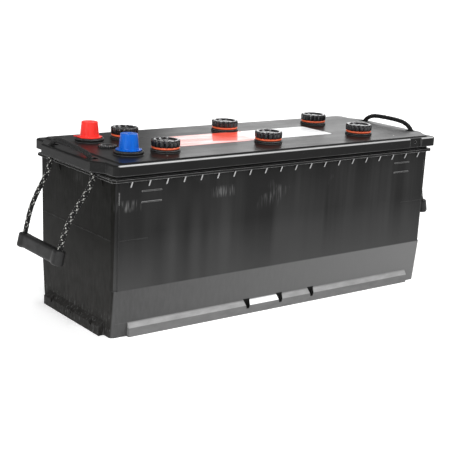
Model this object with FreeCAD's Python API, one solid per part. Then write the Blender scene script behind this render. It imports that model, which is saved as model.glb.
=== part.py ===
"""Deep cycle battery: a 12 V flooded lead-acid monoblock of the 513 x 189 x 223 mm standard block.

Row frame, in millimetres: the origin is the centre of the base's underside, +Z is up, +X runs along
the length away from the terminals, and -Y is the front long side. Each piece is written to its own
STEP file in parts/. The run prints the bend radii of the rope routes and the volume of each tube.
"""
import FreeCAD, Part
import math
import os

V = FreeCAD.Vector
X_AXIS = V(1, 0, 0)
Y_AXIS = V(0, 1, 0)
Z_AXIS = V(0, 0, 1)

# ---- driving dimensions of the standard block ----
LENGTH = 513.0                 # over the handle carriers of the lid
WIDTH = 189.0                  # over the lid's long rims
HEIGHT = 223.0                 # to the top of the lead posts
RIM_TOP = 200.0                # upper edge of the lid's rim
LID_TOP = 201.4                # raised field inside the rim
RUN_GAP = 0.3                  # clearance between pieces that move against each other

# ---- container ----
WALL = 3.2
FLOOR = 4.0
BASE_HALF = (240.4, 81.0)      # half sizes at the underside
BREAK_HALF = (241.1, 85.9)     # half sizes where the lower band ends
BREAK_Z = 56.0
RIM_HALF_X = 243.2             # half length at the weld line
WELD_Z = 187.0                 # container and lid are welded here
PANEL_PROUD = 1.3              # the side panels stand proud of the corner strips
PANEL_HALF_X = 235.5
CORNER_RADIUS = 5.0
CAVITY_TOP_HALF = (RIM_HALF_X - WALL, BREAK_HALF[1] - PANEL_PROUD - WALL)
FLANGE_Z = (180.0, 183.0)
FLANGE_HALF = (246.0, 90.0)
FLANGE_CHAMFER = 4.0
ROPE_SLOT_HALF = 6.0
GUSSET_COUNT = 20
GUSSET_PITCH = 23.3
GUSSET_THICKNESS = 1.8
GUSSET_HEIGHT = 9.0
PARTITION = 2.6
MARK_X = (181.0, 207.0)         # raised level marks near both ends of the long sides
MARK_Z = (155.0, 167.5)
MARK_HEIGHT = 1.4
MARK_PROUD = 0.5
PARTING_Z = 113.5
PARTING_PROUD = 0.35
PARTING_HEIGHT = 1.0
PARTING_FRONT_X = 198.0         # on the long sides the line only shows from here outwards
PARTING_END_HALF = 78.0
REST_RIB_Y = (-57.0, -22.0, 22.0, 57.0)   # ribs on the floor that the plates stand on
REST_RIB_HALF = 2.0

# ---- hold-down ledges ----
LEDGE_FACE_Z = 10.5
LEDGE_TOP_Z = 17.0
LEDGE_FRONT_Y = 86.5
LEDGE_FRONT_HALF = 220.0
LEDGE_END_X = 247.5
LEDGE_END_HALF = 66.0
LEDGE_NOTCH = (3.6, 9.0)       # width of a notch at its floor and at the ledge's top
LEDGE_FRONT_NOTCHES = (-51.0, 0.0, 51.0)
LEDGE_END_NOTCHES = (-47.0, 0.0, 47.0)

# ---- lid ----
LID_PLATE = 3.5
LID_WALL = 3.0
SKIRT_Z = 188.0
EDGE_RADIUS = 2.2
FIELD_HALF = (238.0, 91.0)     # half sizes of the raised field at its foot
FIELD_SLOPE = 2.5              # width of the slope round it
CARRIER_HALF_Y = 57.0          # half width of the end lug that carries a rope handle
SHOULDER = (246.0, 73.0)       # where the slant from that lug meets the narrower end
LID_CORNER = 6.0
ROPE_HOLE_X = (-8.6, 3.6)       # edges of the openings, from the ropes' line
ROPE_HOLE_Y = (-10.4, 1.6)
ROPE_HOLE_CORNER = 2.5

# ---- cells and vents ----
CELL_X = 80.3                  # distance of the cross partitions from the middle
VENT_PITCH = 150.7
VENT_Y = 45.3
BOSS_RADIUS = 17.4
BOSS_TOP = 204.1
BORE_RADIUS = 12.9
NECK_RADIUS = 16.0
NECK_BOTTOM = 186.0
SHANK_RADIUS = BORE_RADIUS - RUN_GAP
SHANK_BOTTOM = 187.5
SEAL_Z = (BOSS_TOP + RUN_GAP, 206.9)
SEAL_OUTER = 16.5
SEAL_SECTION = 2.8
HEAD_RADIUS = 17.0
HEAD_Z = (SEAL_Z[1] + RUN_GAP, 215.0)
HEAD_BOWL = (12.6, 11.8, 1.6)   # radius at the rim and at the floor, depth
SHANK_WALL = 2.2
FLUTES = 15
FLUTE_RADIUS = 2.2

# ---- sticker, gas outlet and blanking plug on the lid ----
LABEL_X = (-119.0, 119.0)
LABEL_Y = (-30.0, 30.0)
LABEL_THICKNESS = 0.25
OUTLET_X = 208.5
OUTLET_Z = 194.8
OUTLET_RADIUS = 2.0
OUTLET_FACE_Y = -92.8
OUTLET_END_Y = -83.8
OUTLET_BLOCK_HALF = 13.0
OUTLET_RECESS_HALF = 10.4
OUTLET_PASSAGE = 1.0
FRIT_RADIUS = 1.6
FRIT_THICKNESS = 2.0
CENTRE_PLUG = (-201.0, 0.0)
CENTRE_PLUG_RADIUS = 11.0
CENTRE_PLUG_STEM = 7.0
CENTRE_PLUG_TOP = 204.2
CENTRE_PLUG_FLUTES = 24

# ---- terminals ----
TERMINAL_X = -199.6
TERMINAL_Y = 44.3
TERMINAL_BOSS_RADIUS = 17.3
TERMINAL_BOSS_TOP = 205.6
BUSHING_RADIUS = 13.0
BUSHING_BOTTOM = 190.0
BUSHING_SOCKET = 3.0           # wall of lid plastic round each bushing
POST_STEM_RADIUS = 7.5
POST_RADIUS = {"positive": 9.75, "negative": 8.95}   # at the foot of the 1 in 9 taper
POST_TAPER = 1.0 / 18.0
CAP_TOP_Z = 224.6
CAP_WALL = 0.8
CAP_BOTTOM_RADIUS = 11.6
CAP_TOP_RADIUS = 9.7
CAP_FLANGE_RADIUS = 15.0
CAP_FLANGE = 1.3
CAP_SCALLOPS = 8
CAP_DIMPLE = 0.4
TAB_REACH = 19.0
TAB_HALF = 1.6
TAB_THICKNESS = 1.0
TAB_ANGLE = 142.0

# ---- plates ----
PLATE_WIDTH = 146.0
PLATE_Z = (12.0, 140.0)
PLATE_THICKNESS = {"positive": 3.6, "negative": 2.8}
PLATE_COUNT = {"positive": 6, "negative": 7}
SEPARATOR = 2.2
STACK_GAP = 0.15
LUG_OFFSET = 60.0
LUG_WIDTH = 14.0
STRAP_Z = (150.0, 157.0)
STRAP_WIDTH = 24.0
RISER = 6.0
LINK_Z = 170.0
LINK_RADIUS = 6.0

# ---- rope handles ----
ROPE_RADIUS = 3.0
HANDLE_X = 249.0
HANDLE_Y = 50.0
PIVOT_Z = 178.0
GRIP_Y = 42.5                  # the legs draw in to this distance before they enter the grip
# Length and lean from upright of each straight run of a leg, downwards from the pivot.
LEG_RUNS = ((7.2, 12.0), (13.0, 30.0), (18.0, 34.0), (20.0, 28.0), (18.0, 17.0), (19.0, 13.0))
# Corners (y, z) of each loop over the lid; the left one has slumped towards the front.
ARCHES = {"left": ((-50.0, 191.0), (-46.3, 199.3), (-39.3, 204.3), (-20.0, 205.9), (5.0, 207.5),
                   (24.0, 208.7), (37.0, 207.0), (45.5, 200.8), (50.0, 192.0)),
          "right": ((-50.0, 190.5), (-46.6, 199.2), (-38.5, 206.5), (-24.0, 210.6), (24.0, 210.6),
                    (38.5, 206.5), (46.6, 199.2), (50.0, 190.5))}
GRIP_TILT = LEG_RUNS[-1][1]
GRIP_SOCKET = 8.0              # length of rope inside the grip
GRIP_HEIGHT = 17.0
GRIP_BOSS_RADIUS = 6.9
GRIP_BAR = (10.0, 15.0)        # thickness and height
GRIP_EYE = (1.6, -23.0)        # radius and place of the small hole in the bar


def write(name, shape):
    shape.exportStep("parts/%s.step" % name)
    print("%-28s %2d solid(s) %10.1f mm3" % (name, len(shape.Solids), shape.Volume))


def box(x0, x1, y0, y1, z0, z1):
    """A box between two corners, given in either order."""
    low = V(min(x0, x1), min(y0, y1), min(z0, z1))
    return Part.makeBox(abs(x1 - x0), abs(y1 - y0), abs(z1 - z0), low)


def cylinder(radius, z0, z1, x=0.0, y=0.0):
    return Part.makeCylinder(radius, z1 - z0, V(x, y, z0), Z_AXIS)


def joined(shapes):
    return shapes[0].fuse(shapes[1:]).removeSplitter()


def ring_of_cylinders(count, radius, reach, z0, z1, start=0.0):
    """Cylinders spaced evenly round the Z axis; start is the first one's share of a step."""
    angles = [2 * math.pi * (index + start) / count for index in range(count)]
    return [cylinder(radius, z0, z1, reach * math.cos(angle), reach * math.sin(angle)) for angle in angles]


def outline(points, z):
    """A closed face at height z through points (x, y)."""
    corners = [V(x, y, z) for x, y in points]
    return Part.Face(Part.makePolygon(corners + corners[:1]))


def four_way(points):
    """The outline of a shape with two mirror planes, from its first-quadrant points."""
    upper = list(points) + [(-x, y) for x, y in reversed(points)]
    return upper + [(-x, -y) for x, y in upper]


def rounded_rectangle(half_x, half_y, radius, z):
    """A closed wire at height z, starting at the same place for every size so that lofts stay straight."""
    edges = []
    cut = radius * (1.0 - math.sqrt(0.5))
    ends = []
    for sx, sy in ((1, -1), (1, 1), (-1, 1), (-1, -1)):
        along_x = V(sx * (half_x - radius), sy * half_y, z)
        along_y = V(sx * half_x, sy * (half_y - radius), z)
        middle = V(sx * (half_x - cut), sy * (half_y - cut), z)
        ends.append((along_x, middle, along_y) if sx * sy < 0 else (along_y, middle, along_x))
    for index, (start, middle, end) in enumerate(ends):
        edges.append(Part.Arc(start, middle, end).toShape())
        edges.append(Part.LineSegment(end, ends[(index + 1) % 4][0]).toShape())
    return Part.Wire(edges)


def tapered(sections):
    """A ruled solid through (half_x, half_y, radius, z) sections."""
    return Part.makeLoft([rounded_rectangle(*section) for section in sections], True, True)


def prism_along_x(points, x0, x1):
    """A prism from x0 to x1 with a (y, z) profile."""
    corners = [V(x0, y, z) for y, z in points]
    return Part.Face(Part.makePolygon(corners + corners[:1])).extrude(V(x1 - x0, 0, 0))


def prism_along_y(points, y0, y1):
    """A prism from y0 to y1 with an (x, z) profile."""
    corners = [V(x, y0, z) for x, z in points]
    return Part.Face(Part.makePolygon(corners + corners[:1])).extrude(V(0, y1 - y0, 0))


def mirror_x(shape):
    return shape.mirror(V(0, 0, 0), X_AXIS)


def mirror_y(shape):
    return shape.mirror(V(0, 0, 0), Y_AXIS)


def revolved(profile, x=0.0, y=0.0):
    """A solid of revolution about a vertical axis, from (radius, z) points."""
    corners = [V(r, 0, z) for r, z in profile]
    solid = Part.Face(Part.makePolygon(corners + corners[:1])).revolve(V(0, 0, 0), Z_AXIS, 360)
    solid.translate(V(x, y, 0))
    return solid


# ---------------------------------------------------------------- container
def half_at(z):
    """Outer half sizes of the container's corner strips at height z."""
    if z <= BREAK_Z:
        share = z / BREAK_Z
        return tuple(b + share * (t - b) for b, t in zip(BASE_HALF, BREAK_HALF))
    share = (z - BREAK_Z) / (WELD_Z - BREAK_Z)
    return BREAK_HALF[0] + share * (RIM_HALF_X - BREAK_HALF[0]), BREAK_HALF[1] - PANEL_PROUD


def cavity():
    """The inside of the container with its partitions left out."""
    bottom = (BASE_HALF[0] - WALL, BASE_HALF[1] - WALL, 2.0, FLOOR)
    knee = (BREAK_HALF[0] - WALL, BREAK_HALF[1] - PANEL_PROUD - WALL, 2.0, BREAK_Z)
    top = CAVITY_TOP_HALF + (2.0, WELD_Z)
    return tapered([bottom, knee, top])


def notch_outline(place):
    """Outline of a notch that narrows downwards, as (distance along the ledge, z)."""
    floor, mouth = LEDGE_NOTCH
    low = LEDGE_FACE_Z - 3.5
    high = LEDGE_TOP_Z + 0.5
    return [(place - floor / 2, low), (place + floor / 2, low),
            (place + mouth / 2, high), (place - mouth / 2, high)]


def front_ledge():
    foot = BASE_HALF[1] - WALL
    points = [(-foot, 0.0), (-LEDGE_FRONT_Y, 0.0), (-LEDGE_FRONT_Y, LEDGE_FACE_Z),
              (-half_at(LEDGE_TOP_Z)[1], LEDGE_TOP_Z), (-foot, LEDGE_TOP_Z)]
    ledge = prism_along_x(points, -LEDGE_FRONT_HALF, LEDGE_FRONT_HALF)
    cuts = [prism_along_y(notch_outline(x), -LEDGE_FRONT_Y - 1, -BREAK_HALF[1] + 3)
            for x in LEDGE_FRONT_NOTCHES]
    return ledge.cut(cuts)


def end_ledge():
    foot = BASE_HALF[0] - WALL
    points = [(foot, 0.0), (LEDGE_END_X, 0.0), (LEDGE_END_X, LEDGE_FACE_Z),
              (half_at(LEDGE_TOP_Z)[0], LEDGE_TOP_Z), (foot, LEDGE_TOP_Z)]
    ledge = prism_along_y(points, -LEDGE_END_HALF, LEDGE_END_HALF)
    cuts = [prism_along_x(notch_outline(y), BASE_HALF[0] + 1.5, LEDGE_END_X + 1)
            for y in LEDGE_END_NOTCHES]
    return ledge.cut(cuts)


def flange():
    """The collar below the weld line, with slots where the ropes pass."""
    half_x, half_y = FLANGE_HALF
    corner = [(half_x, half_y - FLANGE_CHAMFER), (half_x - FLANGE_CHAMFER, half_y)]
    collar = outline(four_way(corner), FLANGE_Z[0]).extrude(V(0, 0, FLANGE_Z[1] - FLANGE_Z[0]))
    slots = []
    for sx in (-1, 1):
        for sy in (-1, 1):
            slots.append(box(sx * (RIM_HALF_X + 0.4), sx * (half_x + 1), sy * (HANDLE_Y - ROPE_SLOT_HALF),
                             sy * (HANDLE_Y + ROPE_SLOT_HALF), FLANGE_Z[0] - 1, FLANGE_Z[1] + 1))
    return collar.cut(slots)


def front_gussets():
    """Triangular ribs that carry the collar on the long side."""
    wall = BREAK_HALF[1] - 0.5
    tip = FLANGE_HALF[1] - 0.6
    points = [(-wall, FLANGE_Z[0]), (-tip, FLANGE_Z[0]), (-wall, FLANGE_Z[0] - GUSSET_HEIGHT)]
    first = -GUSSET_PITCH * (GUSSET_COUNT - 1) / 2
    ribs = []
    for index in range(GUSSET_COUNT):
        x = first + index * GUSSET_PITCH
        ribs.append(prism_along_x(points, x - GUSSET_THICKNESS / 2, x + GUSSET_THICKNESS / 2))
    return ribs


def end_gussets():
    """Ribs on the end wall, one each side of every rope slot."""
    wall = RIM_HALF_X - 1.0
    tip = FLANGE_HALF[0] - 0.4
    points = [(wall, FLANGE_Z[0]), (tip, FLANGE_Z[0]), (wall, FLANGE_Z[0] - GUSSET_HEIGHT - 3)]
    ribs = []
    for y in (HANDLE_Y - ROPE_SLOT_HALF - 8.0, HANDLE_Y + ROPE_SLOT_HALF + 6.0):
        for side in (-1, 1):
            ribs.append(prism_along_y(points, side * y - GUSSET_THICKNESS / 2,
                                      side * y + GUSSET_THICKNESS / 2))
    return ribs


def front_marks():
    """Raised level marks and the two ends of the mould's parting line, on the long side's panel."""
    face = BREAK_HALF[1]
    marks = []
    for sx in (-1, 1):
        for z in MARK_Z:
            marks.append(box(sx * MARK_X[0], sx * MARK_X[1], -face + 1, -face - MARK_PROUD,
                             z - MARK_HEIGHT / 2, z + MARK_HEIGHT / 2))
        marks.append(box(sx * PARTING_FRONT_X, sx * PANEL_HALF_X, -face + 1, -face - PARTING_PROUD,
                         PARTING_Z - PARTING_HEIGHT / 2, PARTING_Z + PARTING_HEIGHT / 2))
    return marks


def end_marks():
    """The mould's parting line across both end walls."""
    face = half_at(PARTING_Z)[0]
    return [box(sx * (face - 1), sx * (face + PARTING_PROUD), -PARTING_END_HALF, PARTING_END_HALF,
                PARTING_Z - PARTING_HEIGHT / 2, PARTING_Z + PARTING_HEIGHT / 2) for sx in (-1, 1)]


def container():
    lower = tapered([BASE_HALF + (CORNER_RADIUS, 0.0), BREAK_HALF + (CORNER_RADIUS, BREAK_Z)])
    upper = tapered([half_at(BREAK_Z + 1e-6) + (CORNER_RADIUS, BREAK_Z),
                     half_at(WELD_Z) + (CORNER_RADIUS, WELD_Z)])
    face = BREAK_HALF[1]
    panels = box(-PANEL_HALF_X, PANEL_HALF_X, -face, face, BREAK_Z, FLANGE_Z[0])
    outside = [lower, upper, panels, flange()] + end_marks()
    outside += [front_ledge(), mirror_y(front_ledge()), end_ledge(), mirror_x(end_ledge())]
    for rib in front_gussets() + front_marks():
        outside += [rib, mirror_y(rib)]
    for rib in end_gussets():
        outside += [rib, mirror_x(rib)]
    hollow = cavity()
    shell = joined(outside).cut(hollow)
    walls = [box(-LENGTH / 2, LENGTH / 2, -PARTITION / 2, PARTITION / 2, FLOOR - 1, WELD_Z)]
    for x in (-CELL_X, CELL_X):
        walls.append(box(x - PARTITION / 2, x + PARTITION / 2, -WIDTH / 2, WIDTH / 2, FLOOR - 1, WELD_Z))
    for y in REST_RIB_Y:
        walls.append(box(-LENGTH / 2, LENGTH / 2, y - REST_RIB_HALF, y + REST_RIB_HALF,
                         FLOOR - 1, PLATE_Z[0]))
    inside = hollow.common(joined(walls))
    return joined([shell, inside]).cut([link_shape(index) for index in range(5)])


# ---------------------------------------------------------------- lid
def lid_outline(inset=0.0):
    """Plan of the lid: wide handle lugs in the middle of each end, slanted shoulders, narrower corners."""
    half_x = LENGTH / 2 - inset
    half_y = WIDTH / 2 - inset
    shoulder_x = SHOULDER[0] - inset
    corner = LID_CORNER - inset * 0.4
    points = [(half_x, CARRIER_HALF_Y - inset * 0.5), (shoulder_x, SHOULDER[1] - inset * 0.2)]
    for step in range(5):
        angle = math.radians(22.5 * step)
        points.append((shoulder_x - corner * (1 - math.cos(angle)), half_y - corner * (1 - math.sin(angle))))
    return four_way(points)


def soft_edge(solid):
    """Rounds the lid's upper rim."""
    rim = [edge for edge in solid.Edges
           if all(abs(vertex.Z - RIM_TOP) < 1e-6 for vertex in edge.Vertexes)]
    return solid.makeFillet(EDGE_RADIUS, rim)


def rope_hole(sx, sy):
    """Opening in the lid's plate; it is longer towards the middle, where the rope arches over."""
    near, far = [sx * (HANDLE_X + offset) for offset in ROPE_HOLE_X]
    low, high = [sy * (HANDLE_Y + offset) for offset in ROPE_HOLE_Y]
    hole = box(near, far, low, high, RIM_TOP - LID_PLATE - 0.5, LID_TOP + 1)
    upright = [edge for edge in hole.Edges if abs(edge.Vertexes[0].Z - edge.Vertexes[1].Z) > 1]
    return hole.makeFillet(ROPE_HOLE_CORNER, upright)


def vent_positions():
    """Numbered 1 to 6 along the front row, then along the rear row, from the terminal end."""
    return [(column * VENT_PITCH, side * VENT_Y) for side in (-1, 1) for column in (-1, 0, 1)]


def round_boss(radius, top, edge):
    """A low round boss on the lid's plate with a bevelled edge."""
    foot = LID_TOP - 1
    return revolved([(0, foot), (radius, foot), (radius, top - edge), (radius - edge, top), (0, top)])


def lid_walls(plate_z):
    """The walls under the lid that are welded to the container's rim and partitions."""
    rim = half_at(WELD_Z) + (CORNER_RADIUS,)
    rim_outer = tapered([rim + (WELD_Z,), rim + (plate_z + 0.5,)])
    rim_inner = tapered([CAVITY_TOP_HALF + (2.0, WELD_Z - 1), CAVITY_TOP_HALF + (2.0, plate_z + 1)])
    walls = [rim_outer.cut(rim_inner)]
    half_x = RIM_HALF_X - 2
    walls.append(box(-half_x, half_x, -PARTITION / 2, PARTITION / 2, WELD_Z, plate_z + 0.5))
    half_y = BREAK_HALF[1] - PANEL_PROUD - 1.6
    for x in (-CELL_X, CELL_X):
        walls.append(box(x - PARTITION / 2, x + PARTITION / 2, -half_y, half_y, WELD_Z, plate_z + 0.5))
    return walls


def raised_field():
    """The slightly higher middle of the lid, with a narrow slope round it."""
    half_x, half_y = FIELD_HALF
    return tapered([(half_x, half_y, 8.0, RIM_TOP - 1), (half_x, half_y, 8.0, RIM_TOP),
                    (half_x - FIELD_SLOPE, half_y - FIELD_SLOPE, 8.0 - FIELD_SLOPE, LID_TOP)])


def lid():
    block = outline(lid_outline(), SKIRT_Z).extrude(V(0, 0, RIM_TOP - SKIRT_Z))
    block = soft_edge(block)
    plate_z = RIM_TOP - LID_PLATE
    hollow = outline(lid_outline(LID_WALL), SKIRT_Z - 1).extrude(V(0, 0, plate_z - SKIRT_Z + 1))
    pieces = [block.cut(hollow), raised_field()] + lid_walls(plate_z)
    cuts = [rope_hole(sx, sy) for sx in (-1, 1) for sy in (-1, 1)]
    for x, y in vent_positions():
        pieces.append(cylinder(NECK_RADIUS, NECK_BOTTOM, LID_TOP - 1, x, y))
        boss = round_boss(BOSS_RADIUS, BOSS_TOP, 0.8)
        boss.translate(V(x, y, 0))
        pieces.append(boss)
        cuts.append(cylinder(BORE_RADIUS, NECK_BOTTOM - 1, BOSS_TOP + 1, x, y))
    for y in (-TERMINAL_Y, TERMINAL_Y):
        socket_radius = BUSHING_RADIUS + BUSHING_SOCKET
        pieces.append(cylinder(socket_radius, BUSHING_BOTTOM, LID_TOP - 1, TERMINAL_X, y))
        boss = round_boss(TERMINAL_BOSS_RADIUS, TERMINAL_BOSS_TOP, 1.0)
        boss.translate(V(TERMINAL_X, y, 0))
        pieces.append(boss)
        cuts.append(cylinder(BUSHING_RADIUS, BUSHING_BOTTOM - 1, TERMINAL_BOSS_TOP + 1, TERMINAL_X, y))
    pieces.append(box(OUTLET_X - OUTLET_BLOCK_HALF, OUTLET_X + OUTLET_BLOCK_HALF,
                      OUTLET_FACE_Y + 1, OUTLET_END_Y + 4, SKIRT_Z, plate_z + 0.5))
    cuts.append(box(OUTLET_X - OUTLET_RECESS_HALF, OUTLET_X + OUTLET_RECESS_HALF,
                    -WIDTH / 2 - 1, OUTLET_FACE_Y, SKIRT_Z - 1, LID_TOP + 1))
    mouth = V(OUTLET_X, OUTLET_FACE_Y - 1, OUTLET_Z)
    cuts.append(Part.makeCylinder(OUTLET_RADIUS, OUTLET_END_Y - FRIT_THICKNESS - mouth.y, mouth, Y_AXIS))
    cuts.append(Part.makeCylinder(FRIT_RADIUS, OUTLET_END_Y - mouth.y, mouth, Y_AXIS))
    inner_end = V(OUTLET_X, OUTLET_END_Y - 1, OUTLET_Z)
    cuts.append(Part.makeCylinder(OUTLET_PASSAGE, 8.0, inner_end, Y_AXIS))
    cuts.append(centre_plug_hole())
    return joined(pieces).cut(cuts)


def outlet_frit():
    """Porous flame-arrestor disc at the end of the gas outlet."""
    start = V(OUTLET_X, OUTLET_END_Y - FRIT_THICKNESS, OUTLET_Z)
    return Part.makeCylinder(FRIT_RADIUS, FRIT_THICKNESS, start, Y_AXIS)


def centre_plug_hole():
    return cylinder(CENTRE_PLUG_STEM, LID_TOP - LID_PLATE + 1.0, LID_TOP + 1, *CENTRE_PLUG)


def centre_plug():
    """Low knurled blanking plug, pressed into a blind seat between the terminals."""
    top = CENTRE_PLUG_TOP
    head = revolved([(0, LID_TOP), (CENTRE_PLUG_RADIUS, LID_TOP), (CENTRE_PLUG_RADIUS, top - 0.8),
                     (CENTRE_PLUG_RADIUS - 0.8, top), (5.5, top), (5.5, top - 0.8), (0, top - 0.8)])
    stem = cylinder(CENTRE_PLUG_STEM, LID_TOP - LID_PLATE + 1.0, LID_TOP + 0.5)
    flutes = ring_of_cylinders(CENTRE_PLUG_FLUTES, 0.8, CENTRE_PLUG_RADIUS + 0.3, LID_TOP + 0.4, top + 1)
    solid = head.fuse(stem).cut(flutes)
    solid.translate(V(CENTRE_PLUG[0], CENTRE_PLUG[1], 0))
    return solid


def top_label():
    """Printed sticker between the vent rows, cut out round the two middle bosses."""
    sheet = box(LABEL_X[0], LABEL_X[1], LABEL_Y[0], LABEL_Y[1], LID_TOP, LID_TOP + LABEL_THICKNESS)
    bays = [cylinder(BOSS_RADIUS + 0.8, LID_TOP - 1, LID_TOP + 1, 0.0, y) for y in (-VENT_Y, VENT_Y)]
    return sheet.cut(bays)


# ---------------------------------------------------------------- vent plugs
def vent_plug(x, y):
    """Screw plug with a fluted head, a dished top and a hollow shank that hangs into the neck."""
    bottom, top = HEAD_Z
    bowl_rim, bowl_floor, bowl_depth = HEAD_BOWL
    head = revolved([(0, bottom), (HEAD_RADIUS - 0.8, bottom), (HEAD_RADIUS, bottom + 0.8),
                     (HEAD_RADIUS, top - 1.2), (HEAD_RADIUS - 1.2, top), (bowl_rim, top),
                     (bowl_floor, top - bowl_depth), (0, top - bowl_depth)])
    flutes = ring_of_cylinders(FLUTES, FLUTE_RADIUS, HEAD_RADIUS + FLUTE_RADIUS - 1.0, bottom - 1, top + 1)
    shank = cylinder(SHANK_RADIUS, SHANK_BOTTOM, bottom + 1.0)
    bore = cylinder(SHANK_RADIUS - SHANK_WALL, SHANK_BOTTOM - 1, bottom - 1.5)
    solid = head.cut(flutes).fuse(shank).cut(bore)
    solid.translate(V(x, y, 0))
    return solid


def vent_seal(x, y):
    """Flat-sided sealing ring under the plug's head."""
    low, high = SEAL_Z
    inner = SEAL_OUTER - SEAL_SECTION
    profile = [(inner, low), (SEAL_OUTER - 0.6, low), (SEAL_OUTER, low + 0.6),
               (SEAL_OUTER, high - 0.6), (SEAL_OUTER - 0.6, high), (inner, high)]
    return revolved(profile, x, y)


# ---------------------------------------------------------------- terminals
def terminal_y(sign):
    return TERMINAL_Y if sign == "positive" else -TERMINAL_Y


def bushing(sign):
    """Lead ring moulded into the lid round its post."""
    place = (TERMINAL_X, terminal_y(sign))
    outer = cylinder(BUSHING_RADIUS, BUSHING_BOTTOM, TERMINAL_BOSS_TOP, *place)
    return outer.cut(cylinder(POST_RADIUS[sign], BUSHING_BOTTOM - 1, TERMINAL_BOSS_TOP + 1, *place))


def post(sign):
    """Round post from the end strap, through its bushing, to the standard tapered top."""
    foot = POST_RADIUS[sign]
    tip = foot - (HEIGHT - TERMINAL_BOSS_TOP) * POST_TAPER
    profile = [(0, STRAP_Z[1]), (POST_STEM_RADIUS, STRAP_Z[1]), (POST_STEM_RADIUS, BUSHING_BOTTOM - 2.0),
               (foot, BUSHING_BOTTOM), (foot, TERMINAL_BOSS_TOP), (tip + POST_TAPER, HEIGHT - 1.0),
               (tip + POST_TAPER - 1.0, HEIGHT), (0, HEIGHT)]
    return revolved(profile, TERMINAL_X, terminal_y(sign))


def terminal_cap(sign):
    """Thin push-on cap with a flange that rests over the terminal boss; the positive one has a pull tab."""
    bottom = TERMINAL_BOSS_TOP + RUN_GAP
    slope = (CAP_TOP_RADIUS - CAP_BOTTOM_RADIUS) / (CAP_TOP_Z - bottom)
    inner_top = CAP_TOP_Z - CAP_WALL - CAP_DIMPLE
    inner_bottom_radius = CAP_BOTTOM_RADIUS - CAP_WALL
    inner_top_radius = inner_bottom_radius + slope * (inner_top - bottom)
    profile = [(inner_bottom_radius, bottom), (CAP_FLANGE_RADIUS, bottom),
               (CAP_FLANGE_RADIUS, bottom + CAP_FLANGE), (CAP_BOTTOM_RADIUS + 0.4, bottom + CAP_FLANGE),
               (CAP_BOTTOM_RADIUS - 0.2, bottom + CAP_FLANGE + 1.2), (CAP_TOP_RADIUS, CAP_TOP_Z - 0.6),
               (CAP_TOP_RADIUS - 0.6, CAP_TOP_Z), (4.0, CAP_TOP_Z), (3.0, CAP_TOP_Z - CAP_DIMPLE),
               (0, CAP_TOP_Z - CAP_DIMPLE), (0, inner_top), (inner_top_radius, inner_top)]
    notches = ring_of_cylinders(CAP_SCALLOPS, 2.4, CAP_FLANGE_RADIUS + 1.6, bottom - 1,
                                bottom + CAP_FLANGE + 0.05, start=0.5)
    cap = revolved(profile).cut(notches)
    if sign == "positive":
        tab = box(0, TAB_REACH, -TAB_HALF, TAB_HALF, bottom, bottom + TAB_THICKNESS)
        tab = tab.cut(cylinder(CAP_FLANGE_RADIUS - 2.0, bottom - 1, bottom + 3))
        tab.rotate(V(0, 0, 0), Z_AXIS, TAB_ANGLE)
        cap = cap.fuse(tab)
    cap.translate(V(TERMINAL_X, terminal_y(sign), 0))
    return cap


# ---------------------------------------------------------------- cells
# Cell number, column (-1, 0, 1) and row (-1 front, 1 rear), in the order that the current takes.
CELLS = ((1, -1, -1), (2, 0, -1), (3, 1, -1), (4, 1, 1), (5, 0, 1), (6, -1, 1))
CELL_EDGE = CELL_X + PARTITION / 2


def cell_centre(column, row):
    """Middle of a plate stack."""
    x = column * (CELL_EDGE + 2.0 + PLATE_WIDTH / 2 + 3.0)
    y = row * (PARTITION / 2 + BASE_HALF[1] - WALL) / 2
    return x, y


def stack_places():
    """Offsets across one stack: (kind, low, high), negative plates on both outsides."""
    total = sum(PLATE_THICKNESS[kind] * PLATE_COUNT[kind] for kind in PLATE_COUNT)
    gaps = PLATE_COUNT["positive"] + PLATE_COUNT["negative"] - 1
    total += gaps * (SEPARATOR + 2 * STACK_GAP)
    place = -total / 2
    places = []
    for index in range(gaps + 1):
        kind = "negative" if index % 2 == 0 else "positive"
        places.append((kind, place, place + PLATE_THICKNESS[kind]))
        place += PLATE_THICKNESS[kind] + STACK_GAP
        if index < gaps:
            places.append(("separator", place, place + SEPARATOR))
            place += SEPARATOR + STACK_GAP
    return places


def strap_side(kind, row):
    """Which end of the cell a strap lies at: current leaves each front cell towards +X."""
    return row if kind == "negative" else -row


def plate_group(kind, column, row):
    """All plates of one polarity in one cell, with their lugs, strap and riser."""
    x, y = cell_centre(column, row)
    side = strap_side(kind, row)
    lug_x = x + side * LUG_OFFSET
    pieces = []
    stack = [place for place in stack_places() if place[0] != "separator"]
    for place_kind, low, high in stack:
        if place_kind == kind:
            pieces.append(box(x - PLATE_WIDTH / 2, x + PLATE_WIDTH / 2, y + low, y + high, *PLATE_Z))
            pieces.append(box(lug_x - LUG_WIDTH / 2, lug_x + LUG_WIDTH / 2, y + low, y + high,
                              PLATE_Z[1] - 1, STRAP_Z[0] + 1))
    reach = -stack[0][1]
    near = lug_x - side * STRAP_WIDTH / 2
    far = lug_x + side * STRAP_WIDTH / 2
    outer_end = side == column
    if outer_end and column == -1:
        near = TERMINAL_X + 12.0
    elif not outer_end:
        wall = CELL_X * side if column == 0 else CELL_X * column
        far = wall - side * PARTITION / 2
        pieces.append(box(far - side * RISER, far, y - 12, y + 12, STRAP_Z[1] - 1, LINK_Z + 9))
    pieces.append(box(near, far, y - reach, y + reach, *STRAP_Z))
    if outer_end and column == 1:
        wall = row * PARTITION / 2
        pieces.append(box(near, far, wall, y, *STRAP_Z))
        pieces.append(box(near, far, wall, wall + row * RISER, STRAP_Z[1] - 1, LINK_Z + 9))
    return joined(pieces)


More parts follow.
